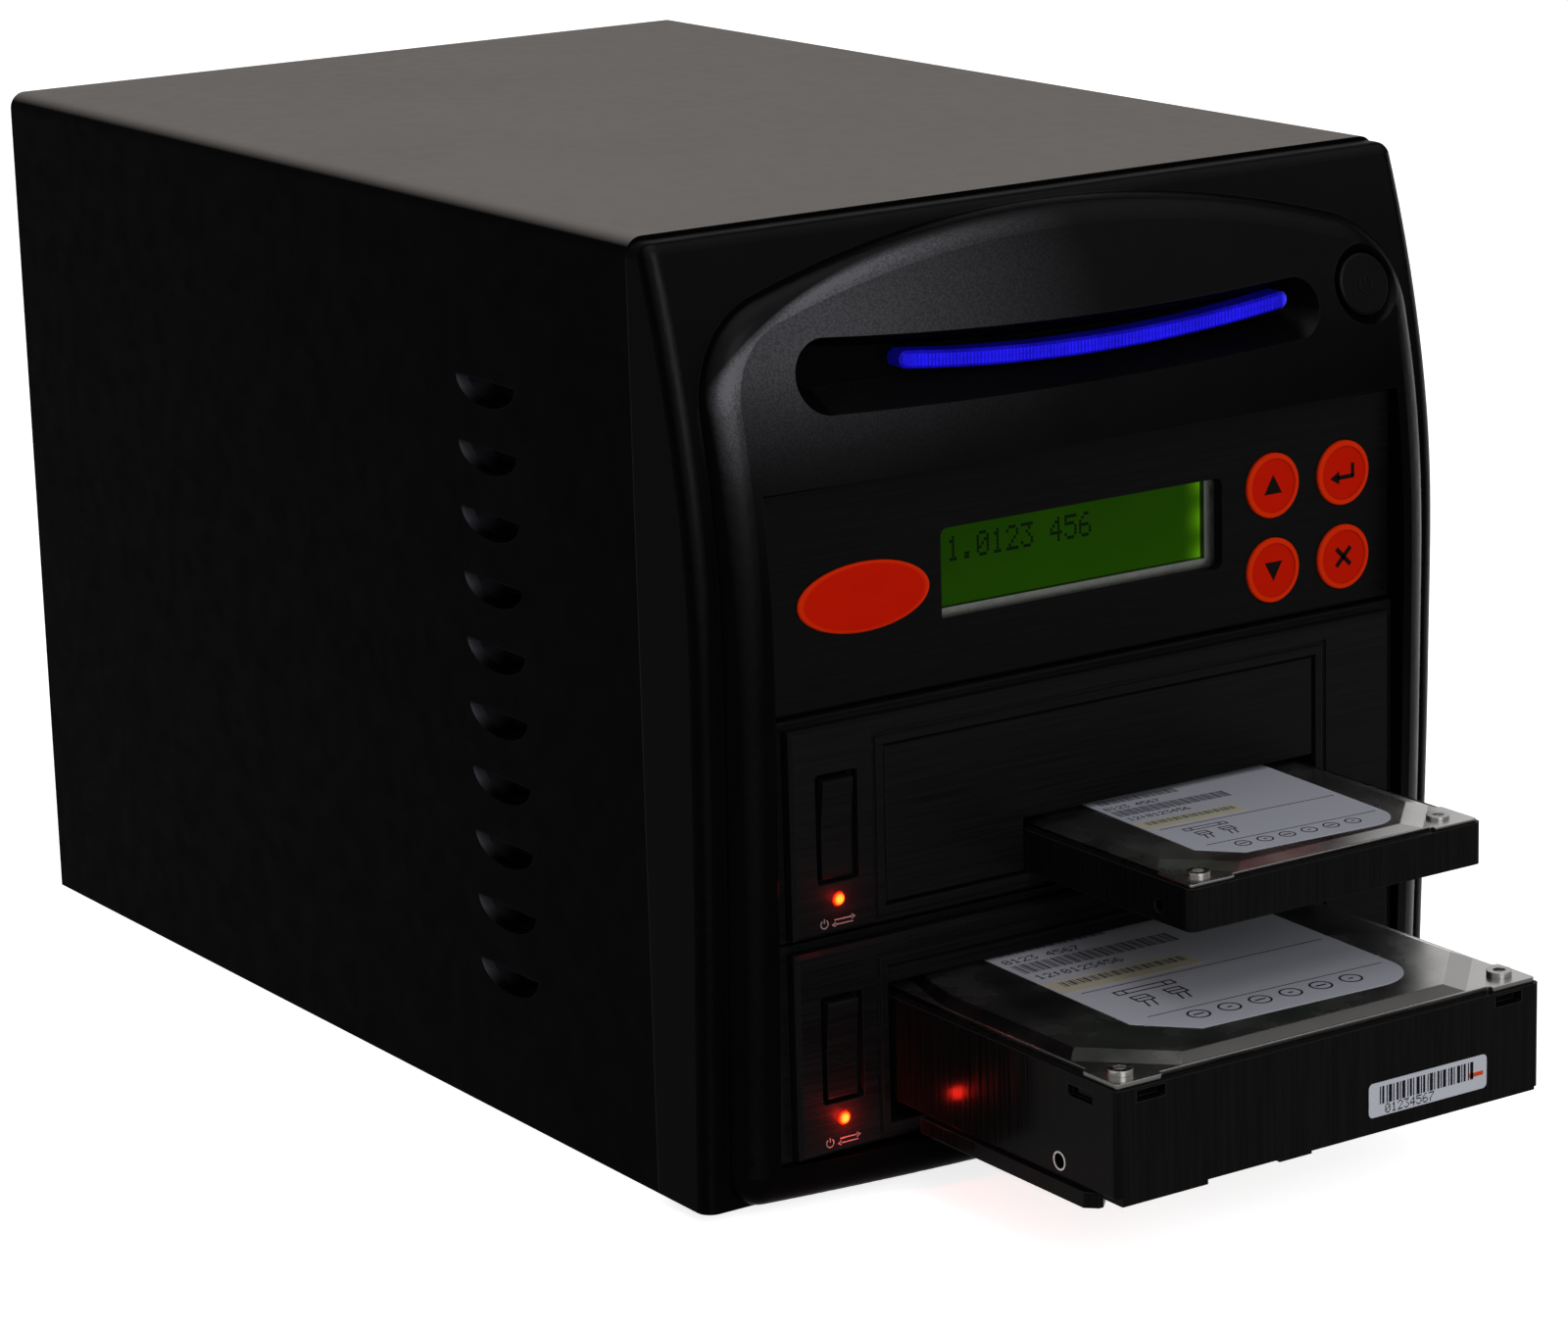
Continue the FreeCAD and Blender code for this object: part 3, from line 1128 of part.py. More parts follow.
def make_toggle_frame():
    """Housing of the mains switch in the power supply's rear face."""
    z = psu_mid_z()
    frame = plate(TOGGLE_X, z, TOGGLE_W + 1.2, TOGGLE_H + 1.2, PSU_BACK - 10, PSU_BACK)
    flange = plate(TOGGLE_X, z, TOGGLE_W + 2.8, TOGGLE_H + 3, PSU_BACK, PSU_BACK + 1)
    return frame.fuse(flange).cut(plate(TOGGLE_X, z, TOGGLE_W - 0.4, TOGGLE_H - 0.4, PSU_BACK - 8.5, PSU_BACK + 2))


def make_toggle():
    """Mains rocker, drawn with its lower end pressed."""
    z = psu_mid_z()
    width = TOGGLE_W - 1.0
    half = TOGGLE_H / 2 - 1.0
    pivot_y = PSU_BACK - 4
    back = PSU_BACK + 1.6
    sink = math.tan(math.radians(TOGGLE_TILT)) * half
    outline = Part.makePolygon([V(0, back, z - half), V(0, back - sink, z), V(0, back, z + half),
                                V(0, pivot_y, z + half), V(0, pivot_y, z - half), V(0, back, z - half)])
    cap = Part.Face(outline).extrude(V(width, 0, 0))
    cap.translate(V(TOGGLE_X - width / 2, 0, 0))
    cap.rotate(V(0, pivot_y, z), V(1, 0, 0), -TOGGLE_TILT)
    return cap


# ---------------------------------------------------------------- fasteners
def make_fan_screws():
    """Four screws through the finger guard."""
    y = (REAR_Y + CASE_D + REAR_PROUD) / 2
    return [screw_y(x, y, FAN_Z + dz, 7) for x in (-FAN_SCREW, FAN_SCREW) for dz in (-FAN_SCREW, FAN_SCREW)]


def make_rack_screws():
    """Hexagon heads on the bay cage that hold the racks' sides."""
    heads = []
    outside = RACK_W / 2 + GAP + SHEET
    for index in (0, 1):
        for y in (30, 110):
            head = hexagon_bar(HEAD_R, 0, HEAD_T, 0, 0)
            head.rotate(V(0, 0, 0), V(0, 0, 1), -90)
            head.translate(V(outside, y, bay_z(index) + BAY_H / 2))
            heads += [head, mirrored(head)]
    return heads


# ---------------------------------------------------------------- the whole
def write_case():
    """Case, bezel and everything fixed to them."""
    write("cover", make_cover())
    write("base_pan", make_base_pan())
    write("front_bulkhead", make_front_bulkhead())
    write("rear_panel", make_rear_panel())
    write("bay_cage", make_bay_cage())
    write("feet", *make_feet())
    write("bezel", make_bezel())
    write("light_pipe", make_light_pipe())
    write("light_board", make_light_board())
    write("power_button", make_power_button())
    write("power_switch", make_power_switch())


def write_panel():
    """Control panel and its electronics."""
    write("control_panel", make_control_panel())
    write("front_badge", make_badge())
    for name, place in zip(("key_up", "key_enter", "key_down", "key_escape"), key_places()):
        write(name, make_key(*place))
    write("key_board", make_key_board())
    write("lcd_frame", make_lcd_frame())
    write("lcd_glass", make_lcd_glass())
    write("lcd_board", make_lcd_board())
    write("board_tray", make_board_tray())
    write("controller_board", make_controller_board())


def write_racks():
    """Two racks: the lower one holds a large drive, the upper one a small drive."""
    for index, name in enumerate(("lower", "upper")):
        small = index == 1
        write(name + "_rack_face", make_rack_face(index))
        write(name + "_rack_cage", make_rack_cage(index))
        write(name + "_rack_guide", make_rack_guide(index, small))
        write(name + "_rack_backplane", make_backplane(index))
        write(name + "_rack_flap", make_flap(index, small, 0 if small else 90))
        write(name + "_flap_pin", make_flap_pin(index))
        write(name + "_rack_rocker", make_rocker(index))
        write(name + "_rack_switch", make_switch_body(index))
        write(name + "_rack_led", make_led(index))


def write_drives():
    """The two drives that stand part way out of the racks."""
    write("large_drive_casting", make_big_casting())
    write("large_drive_board", make_big_board())
    write("large_drive_lid", make_big_lid())
    write("large_drive_screws", *make_lid_screws(MOUTH_X, BIG_FRONT, BIG_W, BIG_D,
                                                 mouth(0)[0] + DRIVE_LIFT + BIG_H - 1.2, 2.4, 1.1))
    write("small_drive_casting", make_small_casting())
    write("small_drive_board", make_small_board())
    write("small_drive_lid", make_small_lid())
    write("small_drive_screws", *make_lid_screws(SMALL_X, SMALL_FRONT, SMALL_W, SMALL_D,
                                                 mouth(1)[0] + DRIVE_LIFT + SMALL_H - 0.7, 2.2, 0.65))


def write_power():
    """Fans, power supply and fasteners."""
    write("fan_frame", make_fan_frame(FAN, FAN_T, 0, FAN_Z, REAR_Y - SHEET, FAN_SCREW))
    write("fan_rotor", make_fan_rotor(FAN, FAN_T, 0, FAN_Z, REAR_Y - SHEET))
    write("fan_grille", make_fan_grille())
    write("case_screws", *make_fan_screws(), *make_rack_screws())
    write("psu_case", make_psu_case())
    psu_fan_back = PSU_BACK - PSU_WALL
    psu_mid = psu_mid_z()
    write("psu_fan_frame", make_fan_frame(PSU_FAN, PSU_FAN_T, PSU_FAN_X, psu_mid, psu_fan_back, PSU_FAN * 0.42))
    write("psu_fan_rotor", make_fan_rotor(PSU_FAN, PSU_FAN_T, PSU_FAN_X, psu_mid, psu_fan_back))
    write("power_inlet", make_power_inlet())
    write("mains_switch_frame", make_toggle_frame())
    write("mains_switch_rocker", make_toggle())


def main():
    """Write every piece."""
    os.makedirs("parts", exist_ok=True)
    write_case()
    write_panel()
    write_racks()
    write_drives()
    write_power()


main()
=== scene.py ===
"""Looks of the drive duplicator: finishes, legends, labels, studio and camera around the CAD frame."""
import logging
import math
from collections.abc import Sequence
from dataclasses import dataclass
from enum import Enum

import bmesh
import bpy
from mathutils import Matrix, Vector


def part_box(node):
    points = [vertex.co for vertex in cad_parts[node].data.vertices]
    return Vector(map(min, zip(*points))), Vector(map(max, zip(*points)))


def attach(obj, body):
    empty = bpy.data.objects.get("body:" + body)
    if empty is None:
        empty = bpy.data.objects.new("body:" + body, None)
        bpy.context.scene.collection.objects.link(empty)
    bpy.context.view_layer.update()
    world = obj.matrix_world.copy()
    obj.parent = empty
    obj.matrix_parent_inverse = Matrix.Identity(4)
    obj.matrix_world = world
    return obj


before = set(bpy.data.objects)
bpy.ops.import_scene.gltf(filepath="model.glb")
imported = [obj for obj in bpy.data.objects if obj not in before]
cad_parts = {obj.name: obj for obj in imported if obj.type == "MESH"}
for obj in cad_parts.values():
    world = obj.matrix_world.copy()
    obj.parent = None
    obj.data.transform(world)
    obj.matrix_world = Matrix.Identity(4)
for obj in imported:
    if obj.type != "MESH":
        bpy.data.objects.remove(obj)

Colour = tuple[float, float, float]
Socket = bpy.types.NodeSocket

LOG = logging.getLogger("drive_duplicator")
MM = 0.001
UP = (0, 0, 1)
FRONT = (0, -1, 0)
EVEN = (1, 1, 1)
# directions in which the bezel's brow and its right edge catch the light, one unit long
BROW_WAY = (-0.399, -0.749, 0.529)
PILLAR_WAY = (0.45, -0.892, 0.05)
# the shield of the bezel: in from the moulding's side, down from its top to the shoulders, and the arch
SHIELD_MARGIN = 5.0 * MM
SHOULDER_DROP = 32.6 * MM
ARCH_RISE = 30.5 * MM


# ------------------------------------------------------------------ where things are
class Facing(Enum):
    """Side that a flat detail looks to."""

    FRONT = "front"
    TOP = "top"
    BACK = "back"
    LEFT = "left"
    RIGHT = "right"

    def axes(self) -> Matrix:
        """Give the turn from a drawing to the row frame.

        Returns:
            The matrix that takes (right, up, out) to (X, Y, Z).
        """
        across, up, out = {
            Facing.FRONT: ((1, 0, 0), (0, 0, 1), (0, -1, 0)),
            Facing.TOP: ((1, 0, 0), (0, 1, 0), (0, 0, 1)),
            Facing.BACK: ((-1, 0, 0), (0, 0, 1), (0, 1, 0)),
            Facing.LEFT: ((0, -1, 0), (0, 0, 1), (-1, 0, 0)),
            Facing.RIGHT: ((0, 1, 0), (0, 0, 1), (1, 0, 0)),
        }[self]
        return Matrix((across, up, out)).transposed().to_4x4()


@dataclass(frozen=True)
class Extent:
    """Box of a CAD piece, in metres."""

    low: Vector
    high: Vector

    @classmethod
    def of(cls, node: str) -> "Extent":
        """Box of a CAD node."""
        return cls(*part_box(node))

    @property
    def middle(self) -> Vector:
        """Centre of the box."""
        return (self.low + self.high) / 2

    @property
    def size(self) -> Vector:
        """Width, depth and height."""
        return self.high - self.low

    def front(self) -> Vector:
        """Centre of the front side."""
        return Vector((self.middle.x, self.low.y, self.middle.z))

    def back(self) -> Vector:
        """Centre of the rear side."""
        return Vector((self.middle.x, self.high.y, self.middle.z))


# ------------------------------------------------------------------ shader wiring
class Wiring:
    """Short ways to wire one finish's nodes."""

    def __init__(self, name: str, colour: Colour, rough: float) -> None:
        """Start a material with one Principled shader.

        Args:
            name: the finish's name.
            colour: base colour, linear.
            rough: roughness from 0 to 1.
        """
        self.material = bpy.data.materials.new(name)
        self.material.use_nodes = True
        self.tree = self.material.node_tree
        self.tree.nodes.clear()
        self.output = self.tree.nodes.new("ShaderNodeOutputMaterial")
        self.shader = self.tree.nodes.new("ShaderNodeBsdfPrincipled")
        self.tree.links.new(self.shader.outputs["BSDF"], self.output.inputs["Surface"])
        self.set("Base Color", colour)
        self.set("Roughness", rough)

    def node(self, kind: str, **inputs: object) -> bpy.types.Node:
        """Add a node and feed its inputs.

        Args:
            kind: kind of node, without the leading ShaderNode.
            inputs: what goes to each input, by its name with underscores for spaces.

        Returns:
            The new node.
        """
        made = self.tree.nodes.new("ShaderNode" + kind)
        for name, value in inputs.items():
            self.feed(made.inputs[name.replace("_", " ")], value)
        return made

    def set(self, socket: str, value: object) -> None:
        """Put a plain value, a colour or a wire on one of the shader's sockets."""
        self.feed(self.shader.inputs[socket], value)

    def feed(self, target: Socket, value: object) -> None:
        """Put a plain value, a colour or a wire on any socket.

        Args:
            target: the socket to feed.
            value: a number, a vector, a colour of three parts, or another node's output.
        """
        if isinstance(value, Socket):
            self.tree.links.new(value, target)
        elif target.type == "RGBA":
            target.default_value = (*value, 1.0)
        else:
            target.default_value = value

    def place(self, stretch: Sequence[float] = EVEN, centre: Sequence[float] = (0, 0, 0)) -> Socket:
        """Point on the surface in the row frame, moved to a centre and stretched.

        Args:
            stretch: factor along X, Y and Z.
            centre: point that becomes the pattern's origin, in metres.

        Returns:
            The socket of the mapped point.
        """
        moved = [-c * s for c, s in zip(centre, stretch)]
        point = self.node("TexCoord").outputs["Object"]
        return self.node("Mapping", Vector=point, Scale=stretch, Location=moved).outputs["Vector"]

    def along(self, axis: str) -> Socket:
        """Place of the surface along X, Y or Z of the row frame, in metres."""
        return self.node("SeparateXYZ", Vector=self.place()).outputs[axis]

    def noise(self, grain_mm: float, detail: float = 2.0, stretch: Sequence[float] = EVEN) -> Socket:
        """Cloudy pattern.

        Args:
            grain_mm: how wide its spots are.
            detail: how many finer layers it has.
            stretch: factor along X, Y and Z.

        Returns:
            The socket of the pattern, about 0.3 to 0.7.
        """
        place = self.place(stretch)
        return self.node("TexNoise", Vector=place, Scale=1.0 / (grain_mm * MM), Detail=detail).outputs["Fac"]

    def cells(self, grain_mm: float) -> Socket:
        """Soft round cells.

        Args:
            grain_mm: how wide they are.

        Returns:
            The socket of the distance from the nearest cell's middle.
        """
        made = self.node("TexVoronoi", Vector=self.place(), Scale=1.0 / (grain_mm * MM))
        made.feature = "SMOOTH_F1"
        return made.outputs["Distance"]

    def distance(self, centre: Sequence[float], stretch: Sequence[float]) -> Socket:
        """Distance from a point after a stretch.

        Args:
            centre: the point, in metres.
            stretch: factor along X, Y and Z.

        Returns:
            The socket of the distance.
        """
        made = self.node("VectorMath")
        made.operation = "LENGTH"
        self.feed(made.inputs[0], self.place(stretch, centre))
        return made.outputs["Value"]

    def span(self, value: Socket, start: float, end: float, low: float = 0.0, high: float = 1.0) -> Socket:
        """Carry a value from one range to another, held at its ends.

        Args:
            value: the socket to read.
            start: value that becomes low.
            end: value that becomes high.
            low: result at start.
            high: result at end.

        Returns:
            The socket of the result.
        """
        made = self.node("MapRange", Value=value, From_Min=start, From_Max=end, To_Min=low, To_Max=high)
        return made.outputs["Result"]

    def tint(self, factor: Socket, first: object, second: object) -> Socket:
        """Blend two colours or wires.

        Args:
            factor: 0 gives the first, 1 the second.
            first: a colour or a wire.
            second: a colour or a wire.

        Returns:
            The socket of the blend.
        """
        made = self.tree.nodes.new("ShaderNodeMix")
        made.data_type = "RGBA"
        for name, value in (("Factor", factor), ("A", first), ("B", second)):
            self.feed(made.inputs[name], value)
        return made.outputs["Result"]

    def math(self, kind: str, first: object, second: object = 0.0) -> Socket:
        """Do one step of arithmetic.

        Args:
            kind: the operation.
            first: a number or a wire.
            second: a number or a wire.

        Returns:
            The socket of the result.
        """
        made = self.node("Math")
        made.operation = kind
        self.feed(made.inputs[0], first)
        self.feed(made.inputs[1], second)
        return made.outputs["Value"]

    def times(self, *factors: object) -> Socket:
        """Multiply numbers or wires.

        Args:
            factors: what to multiply, two or more.

        Returns:
            The socket of the product.
        """
        product = factors[0]
        for factor in factors[1:]:
            product = self.math("MULTIPLY", product, factor)
        return product

    def relief(self, height: Socket, depth_mm: float, strength: float, below: Socket | None = None) -> Socket:
        """Raise a fine relief, laid over another relief or softened edges if they are given.

        Args:
            height: the pattern.
            depth_mm: how deep the relief is.
            strength: how much of it shows.
            below: normal that it lies on.

        Returns:
            The socket of the normal.
        """
        made = self.node("Bump", Height=height, Distance=depth_mm * MM, Strength=strength)
        if below is not None:
            self.feed(made.inputs["Normal"], below)
        return made.outputs["Normal"]

    def soft_edges(self, radius_mm: float) -> Socket:
        """Round sharp edges off.

        Args:
            radius_mm: the radius.

        Returns:
            The socket of the normal.
        """
        made = self.node("Bevel", Radius=radius_mm * MM)
        made.samples = 4
        return made.outputs["Normal"]

    def flat(self) -> Socket:
        """The surface's own direction."""
        return self.node("NewGeometry").outputs["Normal"]

    def cosine(self, first: Socket, second: object) -> Socket:
        """Compare two directions.

        Args:
            first: a direction to read.
            second: a direction one unit long, or a wire.

        Returns:
            The socket of the cosine between them.
        """
        made = self.node("VectorMath")
        made.operation = "DOT_PRODUCT"
        self.feed(made.inputs[0], first)
        self.feed(made.inputs[1], second)
        return made.outputs["Value"]

    def worn_edges(self, radius_mm: float) -> Socket:
        """0 on flat areas, towards 1 along sharp edges."""
        return self.span(self.cosine(self.soft_edges(radius_mm), self.flat()), 0.99, 0.75)

    def facing(self, way: Sequence[float], start: float, end: float, low: float = 0.0,
               high: float = 1.0) -> Socket:
        """Blend by how squarely the surface looks in one direction.

        Args:
            way: the direction, one unit long.
            start: cosine that becomes low.
            end: cosine that becomes high.
            low: result at start.
            high: result at end.

        Returns:
            The socket of the result.
        """
        return self.span(self.cosine(self.flat(), way), start, end, low, high)


# ------------------------------------------------------------------ finishes
@dataclass(frozen=True)
class Finish:
    """A surface finish; each kind wires its own nodes."""

    name: str
    colour: Colour
    rough: float
    gloss: float = 0.02

    def make(self) -> bpy.types.Material:
        """Build the material.

        Returns:
            The material.
        """
        wiring = Wiring(self.name, self.colour, self.rough)
        wiring.set("Specular IOR Level", self.gloss)
        self.dress(wiring)
        return wiring.material

    def dress(self, w: Wiring) -> None:
        """Add this finish's patterns to the wiring."""
        self.vary_rough(w, w.noise(3.0), 0.05, 0.05)

    def vary_rough(self, w: Wiring, pattern: Socket, less: float, more: float) -> None:
        """Let the roughness follow a pattern, from a little less to a little more than its mean."""
        w.set("Roughness", w.span(pattern, 0.3, 0.7, self.rough - less, self.rough + more))

    def shade(self, factor: float, lift: float = 0.0) -> Colour:
        """Colour of the finish, made stronger and lifted off black."""
        return tuple(part * factor + lift for part in self.colour)


@dataclass(frozen=True)
class PebbledPlastic(Finish):
    """Moulded plastic with a fine pebbled grain, shinier where it leans up to the front, where a painted
    sheen also lightens its colour.
    """

    grain_mm: float = 0.4
    depth_mm: float = 0.02
    edge_mm: float = 0.5
    sheen: float = 0.0
    # grey of the painted highlight, and where its brightest spot sits in from the bezel's left side and down
    # from its top, in millimetres
    painted_light_grey: Colour = (0.075, 0.075, 0.084)
    sheen_spot_inset: float = 21.5
    sheen_spot_drop: float = 17.8

    def dress(self, w: Wiring) -> None:
        """Wire pebbles, faint mottling, slightly polished edges and the painted sheen.

        Args:
            w: the wiring.
        """
        pebbles = w.cells(self.grain_mm)
        mottle = w.noise(14.0, 3.0)
        worn = w.worn_edges(self.edge_mm)
        cover = w.tint(mottle, self.colour, self.shade(1.3, 0.0003))
        cover = w.tint(worn, cover, self.shade(1.8, 0.0015))
        spread = w.span(mottle, 0.3, 0.7, self.rough - 0.05, self.rough + 0.05)
        w.set("Roughness", w.math("SUBTRACT", spread, w.times(worn, 0.12)))
        w.set("Normal", w.relief(pebbles, self.depth_mm, 0.8, w.soft_edges(self.edge_mm)))
        if self.sheen > 0:
            brow = w.facing(BROW_WAY, 0.8, 0.97, self.gloss, self.sheen)
            right_edge = w.facing(PILLAR_WAY, 0.93, 0.99, 0.0, self.sheen)
            w.set("Specular IOR Level", w.math("ADD", brow, right_edge))
            # painted highlight: a grainy grey sheen painted into the base colour where the bezel looks up to
            # the key light
            cover = w.tint(self.painted_sheen(w, pebbles), cover, self.painted_light_grey)
        w.set("Base Color", cover)

    def painted_sheen(self, w: Wiring, pebbles: Socket) -> Socket:
        """Grainy painted highlight on what leans up to the front, strongest at the shield's left shoulder.

        Args:
            w: the wiring.
            pebbles: pattern of the pebbles.

        Returns:
            The socket of the factor.
        """
        bezel = Extent.of("bezel")
        height = w.along("Z")
        side = w.math("DIVIDE", w.along("X"), bezel.high.x - SHIELD_MARGIN)
        above = w.math("SUBTRACT", height, bezel.high.z - SHOULDER_DROP)
        rise = w.math("DIVIDE", w.math("MAXIMUM", above, 0.0), ARCH_RISE)
        inside = w.span(w.math("ADD", w.times(side, side), w.times(rise, rise)), 0.96, 1.02, 1.0, 0.0)
        spot = (bezel.low.x + self.sheen_spot_inset * MM, 0.0, bezel.high.z - self.sheen_spot_drop * MM)
        near = w.span(w.distance(spot, (1.0, 0.0, 1.6)), 0.012, 0.072, 1.75, 0.05)
        low_end, high_end = (bezel.high.z - drop * MM for drop in (45.8, 21.8))
        high = w.span(height, low_end, high_end, 0.1, 1.0)
        turned = w.math("POWER", w.facing(BROW_WAY, 0.76, 0.97), 2.3)
        grain = w.span(pebbles, 0.1, 0.6, 1.3, 0.7)
        return w.times(turned, w.times(near, high), grain, inside)


@dataclass(frozen=True)
class PowderCoat(Finish):
    """Satin powder coat on sheet steel, with orange peel, fine grit, a painted highlight where it faces the
    key light and painted light on the faces that look up.
    """

    # painted light grey for the top faces, bare steel at worn folds, and painted highlight grey where faces
    # look to the key light
    painted_light_grey: Colour = (0.143, 0.131, 0.122)
    bare: Colour = (0.006, 0.006, 0.006)
    painted_highlight_grey: Colour = (0.035, 0.035, 0.043)

    def dress(self, w: Wiring) -> None:
        """Wire grit, a slow waviness, paint thinned along the folds, a painted highlight towards the key
        light, and painted light on top.

        Args:
            w: the wiring.
        """
        grit = w.noise(0.35, 4.0)
        peel = w.noise(5.0)
        roof_low, roof_high = (Extent.of("cover").high.z - drop * MM for drop in (8.5, 2.5))
        cover = w.tint(w.noise(30.0, 4.0), self.colour, self.shade(1.3, 0.0003))
        cover = w.tint(w.worn_edges(0.4), cover, self.bare)
        # painted highlight: faces that look towards the key light are painted a lighter grey
        highlight_facing = w.math("POWER", w.facing(BROW_WAY, 0.72, 0.97), 2.0)
        cover = w.tint(highlight_facing, cover, self.painted_highlight_grey)
        # painted light: faces that look up near the roof are painted a lighter grey-brown, standing for the
        # overhead light
        cloud = w.span(w.noise(45.0, 3.0), 0.3, 0.7, 0.95, 1.0)
        cloud = w.times(w.span(w.along("Z"), roof_low, roof_high), cloud)
        upper = w.times(w.facing(UP, 0.5, 0.95), cloud)
        w.set("Base Color", w.tint(upper, cover, self.painted_light_grey))
        self.vary_rough(w, peel, 0.04, 0.06)
        w.set("Normal", w.relief(grit, 0.02, 0.6, w.relief(peel, 0.05, 0.15, w.soft_edges(0.4))))


@dataclass(frozen=True)
class BrushedPlastic(Finish):
    """Dark satin plastic with faint level drawing lines."""

    lines: float = 1.0

    def dress(self, w: Wiring) -> None:
        """Wire long fine lines along X and worn outer edges.

        Args:
            w: the wiring.
        """
        drawn = w.noise(0.5, 3.0, (0.02, 1.0, 1.0))
        cover = w.tint(w.span(drawn, 0.35, 0.65), self.colour, self.shade(1.4, 0.0005))
        w.set("Base Color", w.tint(w.worn_edges(0.35), cover, self.shade(2.0, 0.002)))
        w.set("Roughness", w.span(drawn, 0.35, 0.65, self.rough - 0.06, self.rough + 0.06))
        w.set("Normal", w.relief(drawn, 0.012, 0.5 * self.lines, w.soft_edges(0.3)))


@dataclass(frozen=True)
class ZincSheet(Finish):
    """Zinc plated sheet with faint spangles and rolling lines."""

    def dress(self, w: Wiring) -> None:
        """Wire spangles, rolling lines and dull patches.

        Args:
            w: the wiring.
        """
        rolled = w.noise(0.6, 3.0, (1.0, 0.04, 1.0))
        w.set("Metallic", 1.0)
        w.set("Base Color", w.tint(w.span(w.cells(6.0), 0.1, 0.7), self.colour, self.shade(0.75)))
        self.vary_rough(w, rolled, 0.08, 0.1)
        w.set("Normal", w.relief(rolled, 0.01, 0.4))


@dataclass(frozen=True)
class CastCoat(Finish):
    """Black coated die casting with upright machining marks."""

    glint: Colour = (0.02, 0.02, 0.022)

    def dress(self, w: Wiring) -> None:
        """Wire milling lines, casting mottle and bare metal glinting at the edges.

        Args:
            w: the wiring.
        """
        milled = w.noise(0.7, 3.0, (1.0, 1.0, 0.03))
        cover = w.tint(w.span(milled, 0.35, 0.65), self.colour, self.shade(1.5, 0.0005))
        w.set("Base Color", w.tint(w.worn_edges(0.35), cover, self.glint))
        self.vary_rough(w, milled, 0.1, 0.08)
        w.set("Normal", w.relief(milled, 0.02, 0.5, w.soft_edges(0.3)))


@dataclass(frozen=True)
class PolishedLid(Finish):
    """Stainless drive lid, nearly a mirror, with hairline scratches and a slow waviness."""

    slope: Colour = (0.08, 0.077, 0.075)
    glint: Colour = (0.45, 0.44, 0.43)

    def dress(self, w: Wiring) -> None:
        """Wire hairlines, smudges, painted shade on the slopes, a painted highlight along the edges and the
        sheet's own waviness.

        Args:
            w: the wiring.
        """
        hair = w.noise(0.25, 2.0, (0.05, 1.0, 1.0))
        smudge = w.noise(14.0, 4.0)
        wave = w.noise(26.0, 1.0)
        w.set("Metallic", 1.0)
        # painted shade: faces tilted away from level get the darker slope colour; painted highlight: the
        # glint colour along sharp edges
        level = w.facing(UP, 0.94, 0.985)
        flat = w.tint(level, self.slope, w.tint(smudge, self.shade(0.8), self.colour))
        w.set("Base Color", w.tint(w.worn_edges(0.2), flat, self.glint))
        w.set("Roughness", w.span(smudge, 0.3, 0.75, self.rough - 0.05, self.rough + 0.08))
        w.set("Normal", w.relief(hair, 0.002, 0.2, w.relief(wave, 0.25, 0.12, w.soft_edges(0.35))))


@dataclass(frozen=True)
class BrightMetal(Finish):
    """Plated screws, pins and the display's frame."""

    def dress(self, w: Wiring) -> None:
        """Wire turning marks and fingerprints.

        Args:
            w: the wiring.
        """
        w.set("Metallic", 1.0)
        self.vary_rough(w, w.noise(1.2, 3.0), 0.06, 0.08)
        w.set("Base Color", w.tint(w.noise(4.0), self.shade(0.8), self.colour))
        w.set("Normal", w.relief(w.noise(0.3), 0.004, 0.4, w.soft_edges(0.15)))


@dataclass(frozen=True)
class Circuit(Finish):
    """Solder-masked circuit board with copper runs under the mask and bare pads."""

    pad: Colour = (0.55, 0.5, 0.36)

    def dress(self, w: Wiring) -> None:
        """Wire runs along both directions, pads, and weave in the laminate.

        Args:
            w: the wiring.
        """
        runs = w.node("TexBrick", Vector=w.place(), Scale=180.0, Mortar_Size=0.05, Brick_Width=1.4,
                      Row_Height=0.35).outputs["Fac"]
        mask = w.tint(runs, self.colour, self.shade(1.7, 0.01))
        w.set("Base Color", w.tint(w.span(w.cells(3.4), 0.16, 0.12), mask, self.pad))
        self.vary_rough(w, w.noise(2.0), 0.0, 0.15)
        w.set("Normal", w.relief(runs, 0.03, 0.5))


@dataclass(frozen=True)
class Rubber(Finish):
    """Soft black rubber with dust in its grain."""

    dusty: Colour = (0.07, 0.068, 0.06)

    def dress(self, w: Wiring) -> None:
        """Wire dust, dull grain and scuffs.

        Args:
            w: the wiring.
        """
        dust = w.noise(3.0, 5.0)
        w.set("Base Color", w.tint(w.span(dust, 0.5, 0.8), self.colour, self.dusty))
        w.set("Roughness", w.span(dust, 0.3, 0.7, self.rough, 0.95))
        w.set("Normal", w.relief(w.noise(0.5, 3.0), 0.04, 0.7))


@dataclass(frozen=True)
class KeyCap(Finish):
    """Orange-red key or badge with a lighter rim and a satin face."""

    centre: tuple[float, float, float] = (0, 0, 0)
    half: tuple[float, float] = (1, 1)
    rim: float = 0.86

    def dress(self, w: Wiring) -> None:
        """Wire the rim's tint by the distance from the centre, fine grain and handling shine.

        Args:
            w: the wiring.
        """
        away = w.distance(self.centre, (1.0 / self.half[0], 0.0, 1.0 / self.half[1]))
        shine = w.noise(5.0, 3.0)
        lighter = tuple(part * gain for part, gain in zip(self.colour, (1.15, 2.8, 6.0)))
        face = w.tint(shine, self.shade(0.88), self.colour)
        w.set("Base Color", w.tint(w.span(away, self.rim - 0.03, self.rim + 0.03), face, lighter))
        self.vary_rough(w, shine, 0.06, 0.08)
        w.set("Normal", w.relief(w.noise(0.4), 0.01, 0.4, w.soft_edges(0.15)))


